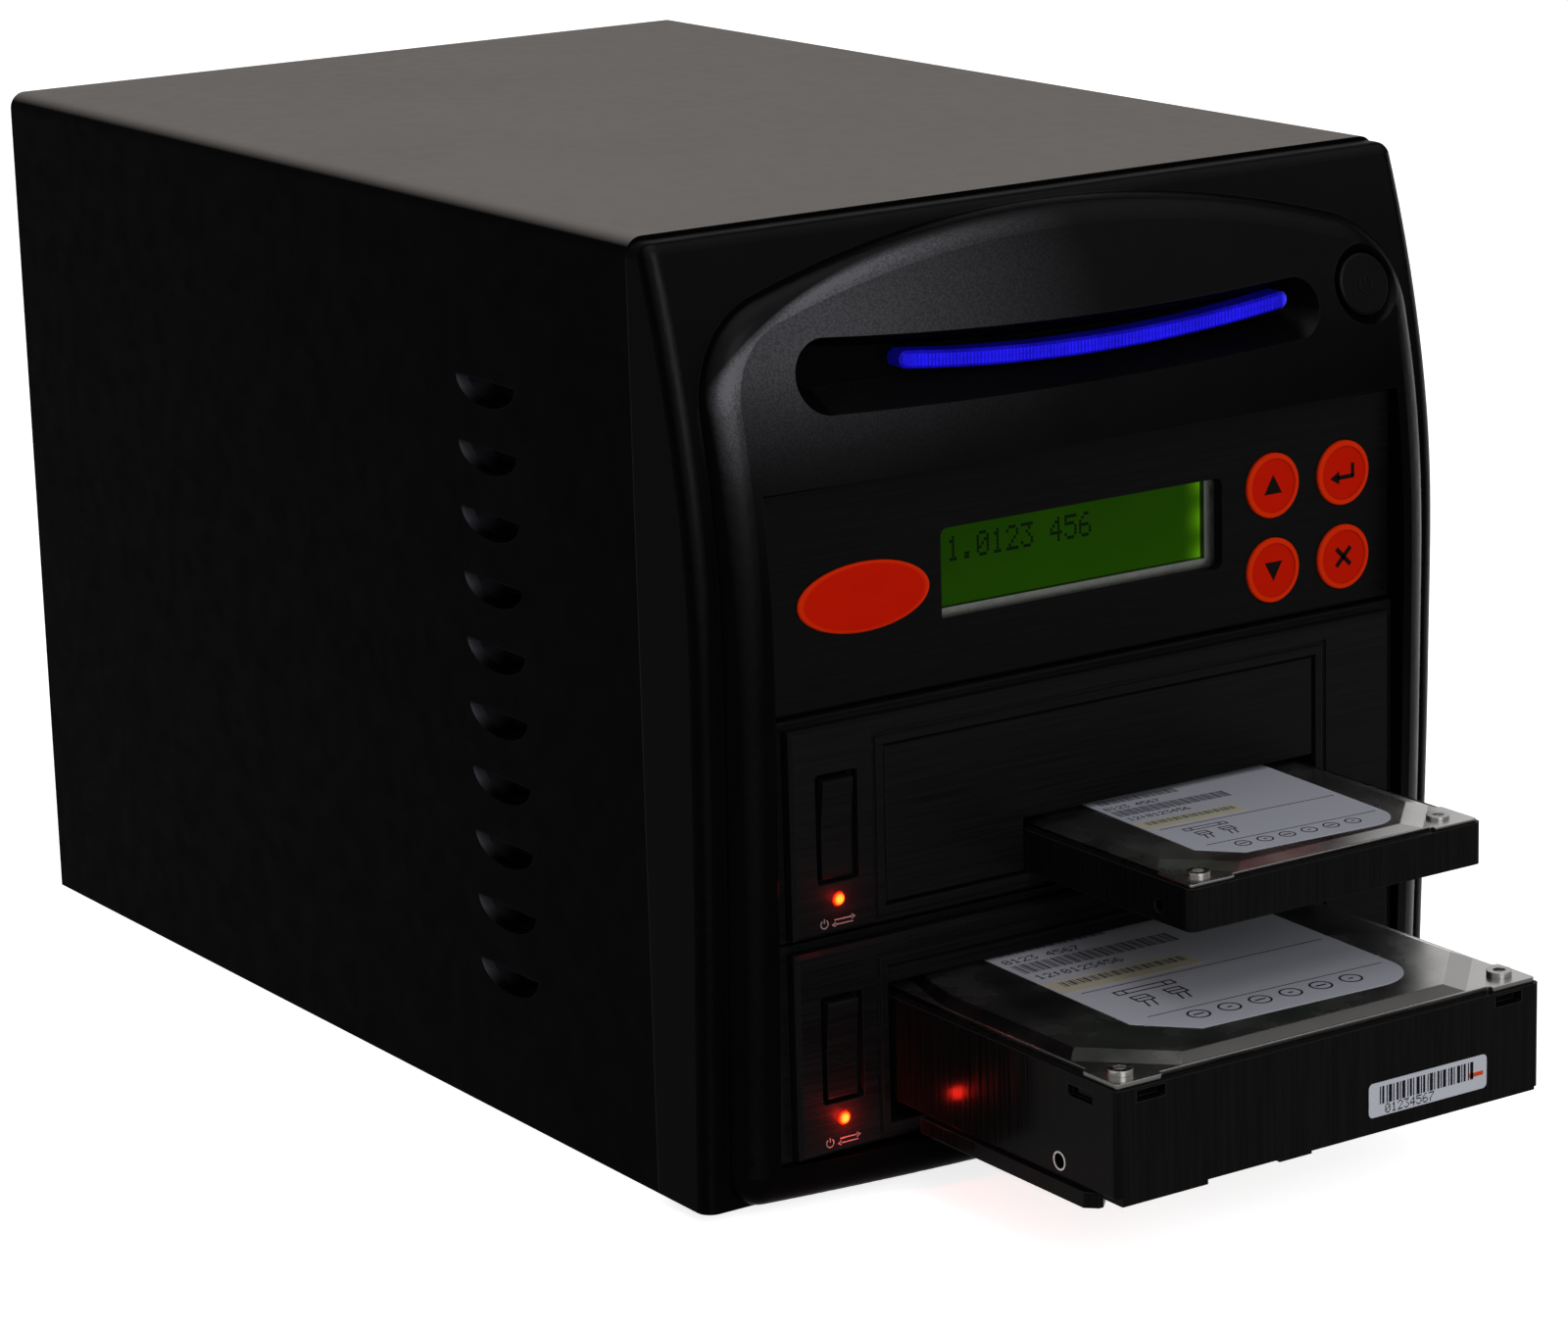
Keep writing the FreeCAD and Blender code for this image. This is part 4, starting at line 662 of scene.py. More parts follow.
@dataclass(frozen=True)
class LitPipe(Finish):
    """Clear acrylic strip lit blue from behind, brightest near its lamps and at its right end."""

    left: float = 0.0
    right: float = 1.0
    lift: float = 0.0
    lamps: int = 5
    dim: Colour = (0.002, 0.0005, 0.3)
    bright: Colour = (0.014, 0.007, 1.0)
    spot: Colour = (0.05, 0.045, 1.0)
    body: Colour = (0.004, 0.004, 0.05)

    def dress(self, w: Wiring) -> None:
        """Wire lamp spots along the strip, streaks of the moulding and a hot spot at the right end.

        Args:
            w: the wiring.
        """
        along = w.span(w.along("X"), self.left, self.right)
        ripple = w.span(w.math("SINE", w.times(along, math.tau * self.lamps)), -1.0, 1.0, -0.1, 0.1)
        streak = w.span(w.noise(0.9, 3.0, (1.0, 1.0, 0.35)), 0.3, 0.7, 0.2, 0.5)
        level = w.math("ADD", w.math("ADD", ripple, streak), self.lift)
        glow = w.tint(level, self.dim, self.bright)
        w.set("Emission Color", w.tint(w.span(along, 0.982, 0.995), glow, self.spot))
        w.set("Emission Strength", w.facing(FRONT, 0.5, 0.9, 0.12, 1.0))
        self.vary_rough(w, w.noise(2.0), 0.0, 0.1)
        w.set("Base Color", w.tint(streak, self.colour, self.body))


@dataclass(frozen=True)
class LitDisplay(Finish):
    """Green display glass, lit from its right end."""

    left: float = 0.0
    right: float = 1.0
    low: float = 0.0
    high: float = 1.0
    green: Colour = (0.0095, 0.043, 0.0003)
    bright: Colour = (0.08, 0.25, 0.004)
    body: Colour = (0.001, 0.004, 0.0003)

    def dress(self, w: Wiring) -> None:
        """Wire the even green, and a bright strip with two lamp spots at the right.

        Args:
            w: the wiring.
        """
        along = w.span(w.along("X"), self.left, self.right)
        upward = w.span(w.along("Z"), self.low, self.high)
        cloud = w.span(w.noise(16.0), 0.3, 0.7, 0.93, 1.06)
        level = w.times(w.span(along, 0.0, 1.0, 0.8, 1.0), cloud, w.span(upward, 0.0, 1.0, 1.0, 0.86))
        edge = w.math("POWER", w.span(along, 0.93, 1.0), 2.0)
        spots = w.span(w.math("COSINE", w.times(upward, math.tau * 2)), -1.0, 1.0, 0.35, 1.0)
        w.set("Emission Color", w.tint(w.times(edge, spots), self.green, self.bright))
        w.set("Emission Strength", level)
        w.set("Base Color", w.tint(cloud, self.colour, self.body))
        self.vary_rough(w, w.noise(6.0), 0.0, 0.06)


@dataclass(frozen=True)
class LitLens(Finish):
    """Lamp lens: hot yellow in the middle, red at its rim."""

    centre: tuple[float, float, float] = (0, 0, 0)
    radius: float = 1.0
    rim: Colour = (0.45, 0.001, 0.001)
    warm: Colour = (0.85, 0.03, 0.001)
    hot: Colour = (1.0, 0.72, 0.06)

    def dress(self, w: Wiring) -> None:
        """Wire colour and glow by the distance from the lamp's axis.

        Args:
            w: the wiring.
        """
        away = w.distance(self.centre, (1.0, 0.0, 1.0))
        glow = w.tint(w.span(away, self.radius * 1.05, self.radius * 0.75), self.rim, self.warm)
        core = w.span(away, self.radius * 0.8, self.radius * 0.35)
        w.set("Emission Color", w.tint(core, glow, self.hot))
        w.set("Emission Strength", 1.0)
        self.vary_rough(w, w.noise(1.0), 0.0, 0.05)


@dataclass(frozen=True)
class Paper(Finish):
    """Coated label paper, faintly uneven, glossy enough to mirror the lamps."""

    def dress(self, w: Wiring) -> None:
        """Wire fibres, slight yellowing and ripples.

        Args:
            w: the wiring.
        """
        fibre = w.noise(1.5, 5.0)
        w.set("Base Color", w.tint(w.noise(18.0, 3.0), self.colour, self.shade(0.93)))
        self.vary_rough(w, fibre, 0.04, 0.06)
        w.set("Normal", w.relief(fibre, 0.006, 0.3, w.relief(w.noise(11.0), 0.05, 0.2)))


@dataclass(frozen=True)
class Ink(Finish):
    """Printed mark, a little starved in places."""

    def dress(self, w: Wiring) -> None:
        """Wire the uneven cover of the ink.

        Args:
            w: the wiring.
        """
        cover = w.noise(0.5, 4.0)
        w.set("Base Color", w.tint(w.span(cover, 0.45, 0.75), self.colour, self.shade(1.3, 0.0003)))
        self.vary_rough(w, cover, 0.0, 0.1)


class Palette:
    """Makes each finish once and hands it out."""

    def __init__(self) -> None:
        """Start with nothing made."""
        self._made: dict[str, bpy.types.Material] = {}

    def get(self, finish: Finish) -> bpy.types.Material:
        """Hand out a finish's material, made the first time it is asked for.

        Args:
            finish: the finish.

        Returns:
            Its material.
        """
        if finish.name not in self._made:
            self._made[finish.name] = finish.make()
        return self._made[finish.name]


COVER_COAT = PowderCoat("cover_coat", (0.0004, 0.0004, 0.0004), 0.5, 0.003)
REAR_COAT = PowderCoat("rear_coat", (0.003, 0.003, 0.003), 0.55, 0.01)
BEZEL_PLASTIC = PebbledPlastic("bezel_plastic", (0.0007, 0.0007, 0.0008), 0.33, 0.004, sheen=0.06)
BUTTON_PLASTIC = PebbledPlastic("button_plastic", (0.001, 0.001, 0.0011), 0.26, 0.012, 0.4, 0.005, 0.3, 0.05)
PANEL_PLASTIC = BrushedPlastic("panel_plastic", (0.0012, 0.0012, 0.0013), 0.42, 0.018, 0.35)
RACK_PLASTIC = BrushedPlastic("rack_plastic", (0.0024, 0.0024, 0.0026), 0.36, 0.018)
SWITCH_PLASTIC = PebbledPlastic("switch_plastic", (0.002, 0.002, 0.002), 0.28, 0.02, 0.8, 0.004, 0.2)
FAN_PLASTIC = PebbledPlastic("fan_plastic", (0.003, 0.003, 0.0034), 0.34, 0.03, 0.9, 0.008, 0.3)
GUIDE_PLASTIC = PebbledPlastic("guide_plastic", (0.012, 0.012, 0.013), 0.45, 0.05, 0.7, 0.012, 0.3)
ZINC = ZincSheet("zinc_sheet", (0.5, 0.51, 0.53), 0.32)
CAST = CastCoat("cast_coat", (0.002, 0.0019, 0.0019), 0.17, 0.014)
LID = PolishedLid("drive_lid", (0.38, 0.37, 0.365), 0.25)
SCREW = BrightMetal("screw_plate", (0.3, 0.29, 0.28), 0.25)
DISPLAY_RIM = BrightMetal("display_rim", (0.09, 0.094, 0.086), 0.35)
BOARD = Circuit("circuit_board", (0.01, 0.09, 0.035), 0.35, 0.2)
FOOT = Rubber("foot_rubber", (0.006, 0.006, 0.006), 0.8)
LABEL_PAPER = Paper("label_paper", (0.33, 0.34, 0.385), 0.12, 0.25)
OLD_PAPER = Paper("strip_paper", (0.32, 0.3, 0.23), 0.35, 0.1)
BLACK_INK = Ink("black_ink", (0.004, 0.004, 0.005), 0.5)
GREY_INK = Ink("grey_ink", (0.045, 0.05, 0.06), 0.5)
ORANGE_INK = Ink("orange_ink", (0.4, 0.04, 0.006), 0.45)
LEGEND_INK = Ink("legend_ink", (0.1, 0.1, 0.1), 0.5)
KEY_INK = Ink("key_ink", (0.0025, 0.0012, 0.0012), 0.4)
DOT_INK = Ink("display_dots", (0.0004, 0.0035, 0.0004), 0.35)
KEY_RED = (0.37, 0.0058, 0.0002)


# ------------------------------------------------------------------ forms
# marks of a five by seven dot display, one number for each row of dots
DOT_ROWS = {
    "0": (14, 17, 19, 21, 25, 17, 14), "1": (4, 12, 4, 4, 4, 4, 14), "2": (14, 17, 1, 2, 4, 8, 31),
    "3": (31, 2, 4, 2, 1, 17, 14), "4": (2, 6, 10, 18, 31, 2, 2), "5": (31, 16, 30, 1, 1, 17, 14),
    "6": (6, 8, 16, 30, 17, 17, 14), "7": (31, 1, 2, 4, 8, 8, 8), ".": (0, 0, 0, 0, 0, 12, 12),
    ":": (0, 12, 12, 0, 12, 12, 0),
}


class Form:
    """A detail in the making: drawn in millimetres as (right, up, out), then set on a place."""

    def __init__(self) -> None:
        """Start empty."""
        self.mesh = bmesh.new()

    def block(self, width: float, height: float, thick: float, x: float = 0.0, y: float = 0.0, z: float = 0.0,
              turn: float = 0.0) -> "Form":
        """Add a straight bar centred on (x, y), standing from z upwards.

        Args:
            width: size to the right.
            height: size upwards.
            thick: size outwards.
            x: centre to the right.
            y: centre upwards.
            z: underside.
            turn: angle in degrees about its own middle.

        Returns:
            This form.
        """
        spot = (Matrix.Translation((x, y, z + thick / 2)) @ Matrix.Rotation(math.radians(turn), 4, "Z")
                @ Matrix.Diagonal((width, height, thick, 1.0)))
        bmesh.ops.create_cube(self.mesh, size=1.0, matrix=spot)
        return self

    def plate(self, width: float, height: float, thick: float, corners: Sequence[float]) -> "Form":
        """Add a flat plate about the origin; each corner is rounded, or cut straight by a negative value.

        Args:
            width: size to the right.
            height: size upwards.
            thick: size outwards.
            corners: radii at lower left, lower right, upper right and upper left.

        Returns:
            This form.
        """
        spot = Matrix.Translation((0, 0, thick / 2)) @ Matrix.Diagonal((width, height, thick, 1.0))
        bmesh.ops.create_cube(self.mesh, size=1.0, matrix=spot)
        for (right, up), radius in zip(((-1, -1), (1, -1), (1, 1), (-1, 1)), corners):
            posts = [edge for edge in self.mesh.edges
                     if all(v.co.x * right > 0 and v.co.y * up > 0 for v in edge.verts)
                     and abs(edge.verts[0].co.z - edge.verts[1].co.z) > thick / 2]
            bmesh.ops.bevel(self.mesh, geom=posts, offset=abs(radius), offset_type="OFFSET",
                            segments=8 if radius > 0 else 1, profile=0.5, affect="EDGES", material=-1)
        return self

    def arrow(self, radius: float, thick: float, x: float, y: float, turn: float) -> "Form":
        """Add a three-sided arrow head.

        Args:
            radius: distance from its middle to its corners.
            thick: size outwards.
            x: centre to the right.
            y: centre upwards.
            turn: angle in degrees from pointing upwards.

        Returns:
            This form.
        """
        spot = Matrix.Translation((x, y, thick / 2)) @ Matrix.Rotation(math.radians(turn), 4, "Z")
        bmesh.ops.create_cone(self.mesh, cap_ends=True, cap_tris=False, segments=3, radius1=radius,
                              radius2=radius, depth=thick, matrix=spot)
        return self

    def ring(self, radius: float, wall: float, thick: float, x: float = 0.0, y: float = 0.0,
             start: float = 0.0, sweep: float = 360.0) -> "Form":
        """Add a flat ring or part of one.

        Args:
            radius: radius of the wall's middle.
            wall: width of the wall.
            thick: size outwards.
            x: centre to the right.
            y: centre upwards.
            start: first angle in degrees, from the right.
            sweep: angle covered.

        Returns:
            This form.
        """
        part = bmesh.new()
        spot = (Matrix.Rotation(math.radians(start), 4, "Z") @ Matrix.Translation((radius, 0, thick / 2))
                @ Matrix.Rotation(math.radians(90), 4, "X") @ Matrix.Diagonal((wall, thick, 1.0, 1.0)))
        bmesh.ops.create_grid(part, x_segments=1, y_segments=1, size=0.5, matrix=spot)
        full = abs(sweep - 360.0) < 1e-6
        bmesh.ops.delete(part, geom=part.faces[:], context="FACES_ONLY")
        bmesh.ops.spin(part, geom=part.verts[:] + part.edges[:], cent=(0, 0, 0), axis=(0, 0, 1),
                       angle=math.radians(sweep), steps=max(6, int(sweep / 10)), use_merge=full,
                       use_duplicate=False)
        bmesh.ops.remove_doubles(part, verts=part.verts[:], dist=1e-4)
        if not full:
            bmesh.ops.holes_fill(part, edges=part.edges[:], sides=4)
        bmesh.ops.recalc_face_normals(part, faces=part.faces[:])
        bmesh.ops.translate(part, vec=(x, y, 0), verts=part.verts[:])
        shape = bpy.data.meshes.new("ring")
        part.to_mesh(shape)
        part.free()
        self.mesh.from_mesh(shape)
        bpy.data.meshes.remove(shape)
        return self

    def power_symbol(self, radius: float, wall: float, thick: float, x: float = 0.0) -> "Form":
        """Add an open ring with an upright stroke.

        Args:
            radius: radius of the ring.
            wall: width of the lines.
            thick: how far they stand out.
            x: centre to the right.

        Returns:
            This form.
        """
        half_gap = 35
        self.ring(radius, wall, thick, x, 0.0, 90 + half_gap, 360 - 2 * half_gap)
        return self.block(wall, radius * 1.1, thick, x, radius * 0.75)

    def dots(self, text: str, pitch: float, rise: float, x: float, y: float, thick: float) -> "Form":
        """Add a line of text as small dots, five across and seven down for each mark.

        Args:
            text: what to write; unknown marks stay blank.
            pitch: distance of the dots across.
            rise: distance of the dots upwards.
            x: first dot's centre to the right.
            y: top dot's centre upwards.
            thick: thickness of the print.

        Returns:
            This form.
        """
        fill = 0.88
        for place, mark in enumerate(text):
            for row, bits in enumerate(DOT_ROWS.get(mark, ())):
                for column in range(5):
                    if bits >> (4 - column) & 1:
                        across = (place * 6 + column) * pitch
                        self.block(pitch * fill, rise * fill, thick, x + across, y - row * rise)
        return self

    def bars(self, left: float, middle: float, length: float, high: float, thick: float,
             coarse: float = 1.0) -> "Form":
        """Add a row of plain bars of changing widths, all from one rule.

        Args:
            left: first bar's edge.
            middle: centre upwards.
            length: length of the row.
            high: height of the bars.
            thick: thickness of the print.
            coarse: factor on the widths.

        Returns:
            This form.
        """
        x, index = left, 0
        while x < left + length:
            wide = (0.25, 0.5, 0.25, 0.75)[index % 4] * coarse
            self.block(wide, high, thick, x + wide / 2, middle)
            x += wide + (0.3, 0.55, 0.3)[index % 3] * coarse
            index += 1
        return self


# ------------------------------------------------------------------ sub-assemblies
@dataclass
class Assembly:
    """Pieces that are dressed together; each kind knows its own."""

    palette: Palette

    def coat(self, finish: Finish, *nodes: str) -> None:
        """Give CAD nodes a finish.

        Args:
            finish: the finish.
            nodes: names of the nodes.
        """
        material = self.palette.get(finish)
        for node in nodes:
            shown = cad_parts[node]
            if shown.material_slots:
                for slot in shown.material_slots:
                    slot.material = material
            else:
                shown.data.materials.append(material)
            LOG.info("%s: %s", node, material.name)

    def fix(self, form: Form, name: str, seat: Vector, finish: Finish, body: str, slot: str,
            facing: Facing = Facing.FRONT, tilt: Matrix | None = None) -> None:
        """Set a form on its place and let it ride on a body.

        Args:
            form: the drawn form.
            name: the piece's name.
            seat: point of the drawing's origin, in metres.
            finish: finish of the piece.
            body: CAD body that it moves with.
            slot: material slot of the record; not used.
            facing: side that the drawing looks to.
            tilt: extra turn about the seat.
        """
        turn = tilt or Matrix.Identity(4)
        place = Matrix.Translation(seat) @ turn @ facing.axes() @ Matrix.Scale(MM, 4)
        bmesh.ops.transform(form.mesh, matrix=place, verts=form.mesh.verts[:])
        shape = bpy.data.meshes.new(name)
        form.mesh.to_mesh(shape)
        form.mesh.free()
        shape.materials.append(self.palette.get(finish))
        piece = bpy.data.objects.new(name, shape)
        bpy.context.scene.collection.objects.link(piece)
        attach(piece, body)
        LOG.info("%s: %d faces on %s", name, len(shape.polygons), body)


@dataclass
class Housing(Assembly):
    """Cover, bezel, inner sheet metal and the lit strip."""

    rib_pitch: float = 0.8
    rib_wide: float = 0.34
    rib_high: float = 1.05
    rib_proud: float = 0.12
    row_offset: float = 0.62
    strip_high: float = 3.3
    bare_ends: float = 7.0

    def dress(self) -> None:
        """Finish the case and its light pipe."""
        self.coat(COVER_COAT, "cover")
        self.coat(REAR_COAT, "rear_panel")
        self.coat(ZINC, "base_pan", "front_bulkhead", "bay_cage", "board_tray")
        self.coat(BEZEL_PLASTIC, "bezel")
        self.coat(FOOT, "feet")
        self.coat(BOARD, "light_board", "controller_board")
        self.coat(SWITCH_PLASTIC, "power_switch")
        self.light_the_pipe()

    def light_the_pipe(self) -> None:
        """Glow of the light pipe, and two rows of fine ribs that follow its bow."""
        pipe = Extent.of("light_pipe")
        ends = (pipe.low.x, pipe.high.x)
        self.coat(LitPipe("pipe_glow", (0.002, 0.002, 0.02), 0.12, 0.02, *ends), "light_pipe")
        length = pipe.size.x / MM
        chord = length - self.strip_high
        bow = pipe.size.z / MM - self.strip_high
        form = Form()
        count = int((length - self.bare_ends) / self.rib_pitch)
        for index in range(count):
            x = (index - (count - 1) / 2) * self.rib_pitch
            middle = bow / 2 - bow * (1.0 - (2.0 * x / chord) ** 2)
            lean = math.degrees(math.atan(bow * 8.0 * x / chord ** 2))
            for row in (-self.row_offset, self.row_offset):
                form.block(self.rib_wide, self.rib_high, self.rib_proud, x, middle + row, 0.0, lean)
        rib_glow = LitPipe("rib_glow", (0.002, 0.002, 0.02), 0.1, 0.02, *ends, lift=0.5)
        self.fix(form, "pipe_ribs", pipe.front(), rib_glow, "case", "light_blue")


@dataclass
class PowerButton(Assembly):
    """Round button with a raised power symbol that follows its slope."""

    slope: float = 16.0
    rim: float = 0.7
    ring: float = 1.5
    line: float = 0.32
    proud: float = 0.14
    lift: float = 0.02

    def dress(self) -> None:
        """Finish the cap and raise its symbol."""
        self.coat(BUTTON_PLASTIC, "power_button")
        cap = Extent.of("power_button")
        back = (cap.size.z / 2 - self.rim * MM) * math.tan(math.radians(self.slope))
        seat = cap.front() + Vector((0, back + self.lift * MM, 0))
        form = Form().power_symbol(self.ring, self.line, self.proud)
        tilt = Matrix.Rotation(math.radians(-self.slope), 4, "X")
        self.fix(form, "button_symbol", seat, BUTTON_PLASTIC, "power_button", "black_abs", tilt=tilt)


@dataclass
class ControlPanel(Assembly):
    """Panel moulding with its display, badge and keys."""

    text: str = "1.0123 456"
    text_inset: float = 4.1
    text_drop: float = 2.5
    dot_pitch: float = 0.57
    row_pitch: float = 0.69
    visible_width: float = 63.6
    visible_height: float = 15.2
    key_radius: float = 6.4
    sign_sunk: float = 0.26
    sign_thick: float = 0.08

    def dress(self) -> None:
        """Finish the panel, display, badge and keys."""
        self.coat(PANEL_PLASTIC, "control_panel")
        self.coat(BOARD, "key_board", "lcd_board")
        self.coat(DISPLAY_RIM, "lcd_frame")
        self.light_display()
        self.colour_keys()

    def light_display(self) -> None:
        """Glow of the display and its dark dots."""
        glass = Extent.of("lcd_glass")
        half = Vector((self.visible_width, 0, self.visible_height)) * MM / 2
        low, high = glass.middle - half, glass.middle + half
        glow = LitDisplay("display_glow", (0.0008, 0.003, 0.0002), 0.12, 0.003, low.x, high.x, low.z, high.z)
        self.coat(glow, "lcd_glass")
        left = self.text_inset - self.visible_width / 2
        top = self.visible_height / 2 - self.text_drop
        form = Form().dots(self.text, self.dot_pitch, self.row_pitch, left, top, 0.06)
        self.fix(form, "display_characters", glass.front(), DOT_INK, "case", "lcd_green")

    def colour_keys(self) -> None:
        """Badge and keys in orange-red, each key with its black sign."""
        badge = Extent.of("front_badge")
        half = (badge.size.x / 2, badge.size.z / 2)
        film = KeyCap("badge_film", KEY_RED, 0.35, 0.01, centre=tuple(badge.middle), half=half, rim=0.93)
        self.coat(film, "front_badge")
        half = (self.key_radius * MM,) * 2
        for node, sign in self.signs().items():
            key = Extent.of(node)
            film = KeyCap(node + "_film", KEY_RED, 0.38, 0.01, centre=tuple(key.middle), half=half, rim=0.84)
            self.coat(film, node)
            seat = key.front() + Vector((0, self.sign_sunk * MM, 0))
            self.fix(sign, node + "_sign", seat, KEY_INK, node, "key_red")

    def signs(self) -> dict[str, Form]:
        """Draw the keys' signs: arrow up, return arrow, arrow down and cross.

        Returns:
            The drawn sign of each key.
        """
        thick = self.sign_thick
        back = Form().block(4.2, 0.8, thick, 0.6, -0.9).block(0.8, 2.6, thick, 2.3, 0.4)
        return {
            "key_up": Form().arrow(2.5, thick, 0, -0.4, 0),
            "key_enter": back.arrow(1.5, thick, -1.8, -0.9, 90),
            "key_down": Form().arrow(2.5, thick, 0, 0.4, 180),
            "key_escape": Form().block(5.0, 0.9, thick, turn=45).block(5.0, 0.9, thick, turn=-45),
        }


@dataclass
class Rack(Assembly):
    """Front of one trayless rack with its rocker, lamp and hidden mechanics."""

    level: str
    lamp_radius: float = 1.5
    sign_drop: float = 4.3
    sign_thick: float = 0.05
    line: float = 0.26
    symbol_sunk: float = 1.15
    symbol_drop: float = 1.5

    def dress(self) -> None:
        """Finish the rack's pieces and add its signs."""
        name = self.level
        self.coat(RACK_PLASTIC, name + "_rack_face", name + "_rack_flap", name + "_rack_rocker")
        self.coat(ZINC, name + "_rack_cage")
        self.coat(GUIDE_PLASTIC, name + "_rack_guide")
        self.coat(BOARD, name + "_rack_backplane")
        self.coat(SCREW, name + "_flap_pin")
        self.coat(SWITCH_PLASTIC, name + "_rack_switch")
        self.light_lamp()
        self.mark_rocker()

    def light_lamp(self) -> None:
        """Glow of the lamp, and under it a power symbol and two arrows that pass each other."""
        lamp = Extent.of(self.level + "_rack_led")
        glow = LitLens(self.level + "_lamp_glow", (0.1, 0.002, 0.001), 0.15, centre=tuple(lamp.middle),
                       radius=self.lamp_radius * MM)
        self.coat(glow, self.level + "_rack_led")
        face = Extent.of(self.level + "_rack_face")
        seat = Vector((lamp.middle.x, face.low.y, lamp.middle.z - self.sign_drop * MM))
        form = Form().power_symbol(0.8, self.line, self.sign_thick, -3.4)
        for y, tip, turn in ((0.45, 3.0, -90), (-0.45, -1.2, 90)):
            form.block(4.2, self.line, self.sign_thick, 0.9, y).arrow(0.62, self.sign_thick, tip, y, turn)
        self.fix(form, self.level + "_rack_sign", seat, LEGEND_INK, "case", "rack_black")

    def mark_rocker(self) -> None:
        """Raised power symbol lying along the rocker."""
        rocker = Extent.of(self.level + "_rack_rocker")
        form = Form().power_symbol(1.35, 0.3, 0.12)
        seat = rocker.front() + Vector((0, self.symbol_sunk * MM, -self.symbol_drop * MM))
        tilt = Matrix.Rotation(math.radians(-90), 4, "Y")
        body = self.level + "_rocker"
        self.fix(form, body + "_symbol", seat, RACK_PLASTIC, body, "rack_black", tilt=tilt)


@dataclass(frozen=True)
class LabelPlan:
    """Rows of a drive's label, in millimetres from its lower left corner, for a 3.5 inch drive."""

    cut_corner: float = 9.5
    round_corner: float = 10.0
    small_corner: float = 2.0
    upper_bars: tuple[float, ...] = (3.0, 58.0, 25.0, 3.6)
    lower_bars: tuple[float, ...] = (1.4, 47.4, 35.0, 5.2)
    strip: tuple[float, ...] = (16.3, 34.3, 32.0, 7.0)
    strip_bars: tuple[float, ...] = (3.0, 35.3, 28.0, 2.8)
    upper_text: tuple[float, ...] = (1.6, 53.6)
    lower_text: tuple[float, ...] = (1.8, 42.8)
    upper_rule: float = 29.0
    lower_rule: float = 10.8
    sketch: tuple[float, ...] = (14.5, 21.0)
    rings: tuple[float, ...] = (13.6, 6.8)
    ring_pitch: float = 7.0
    ring_count: int = 6


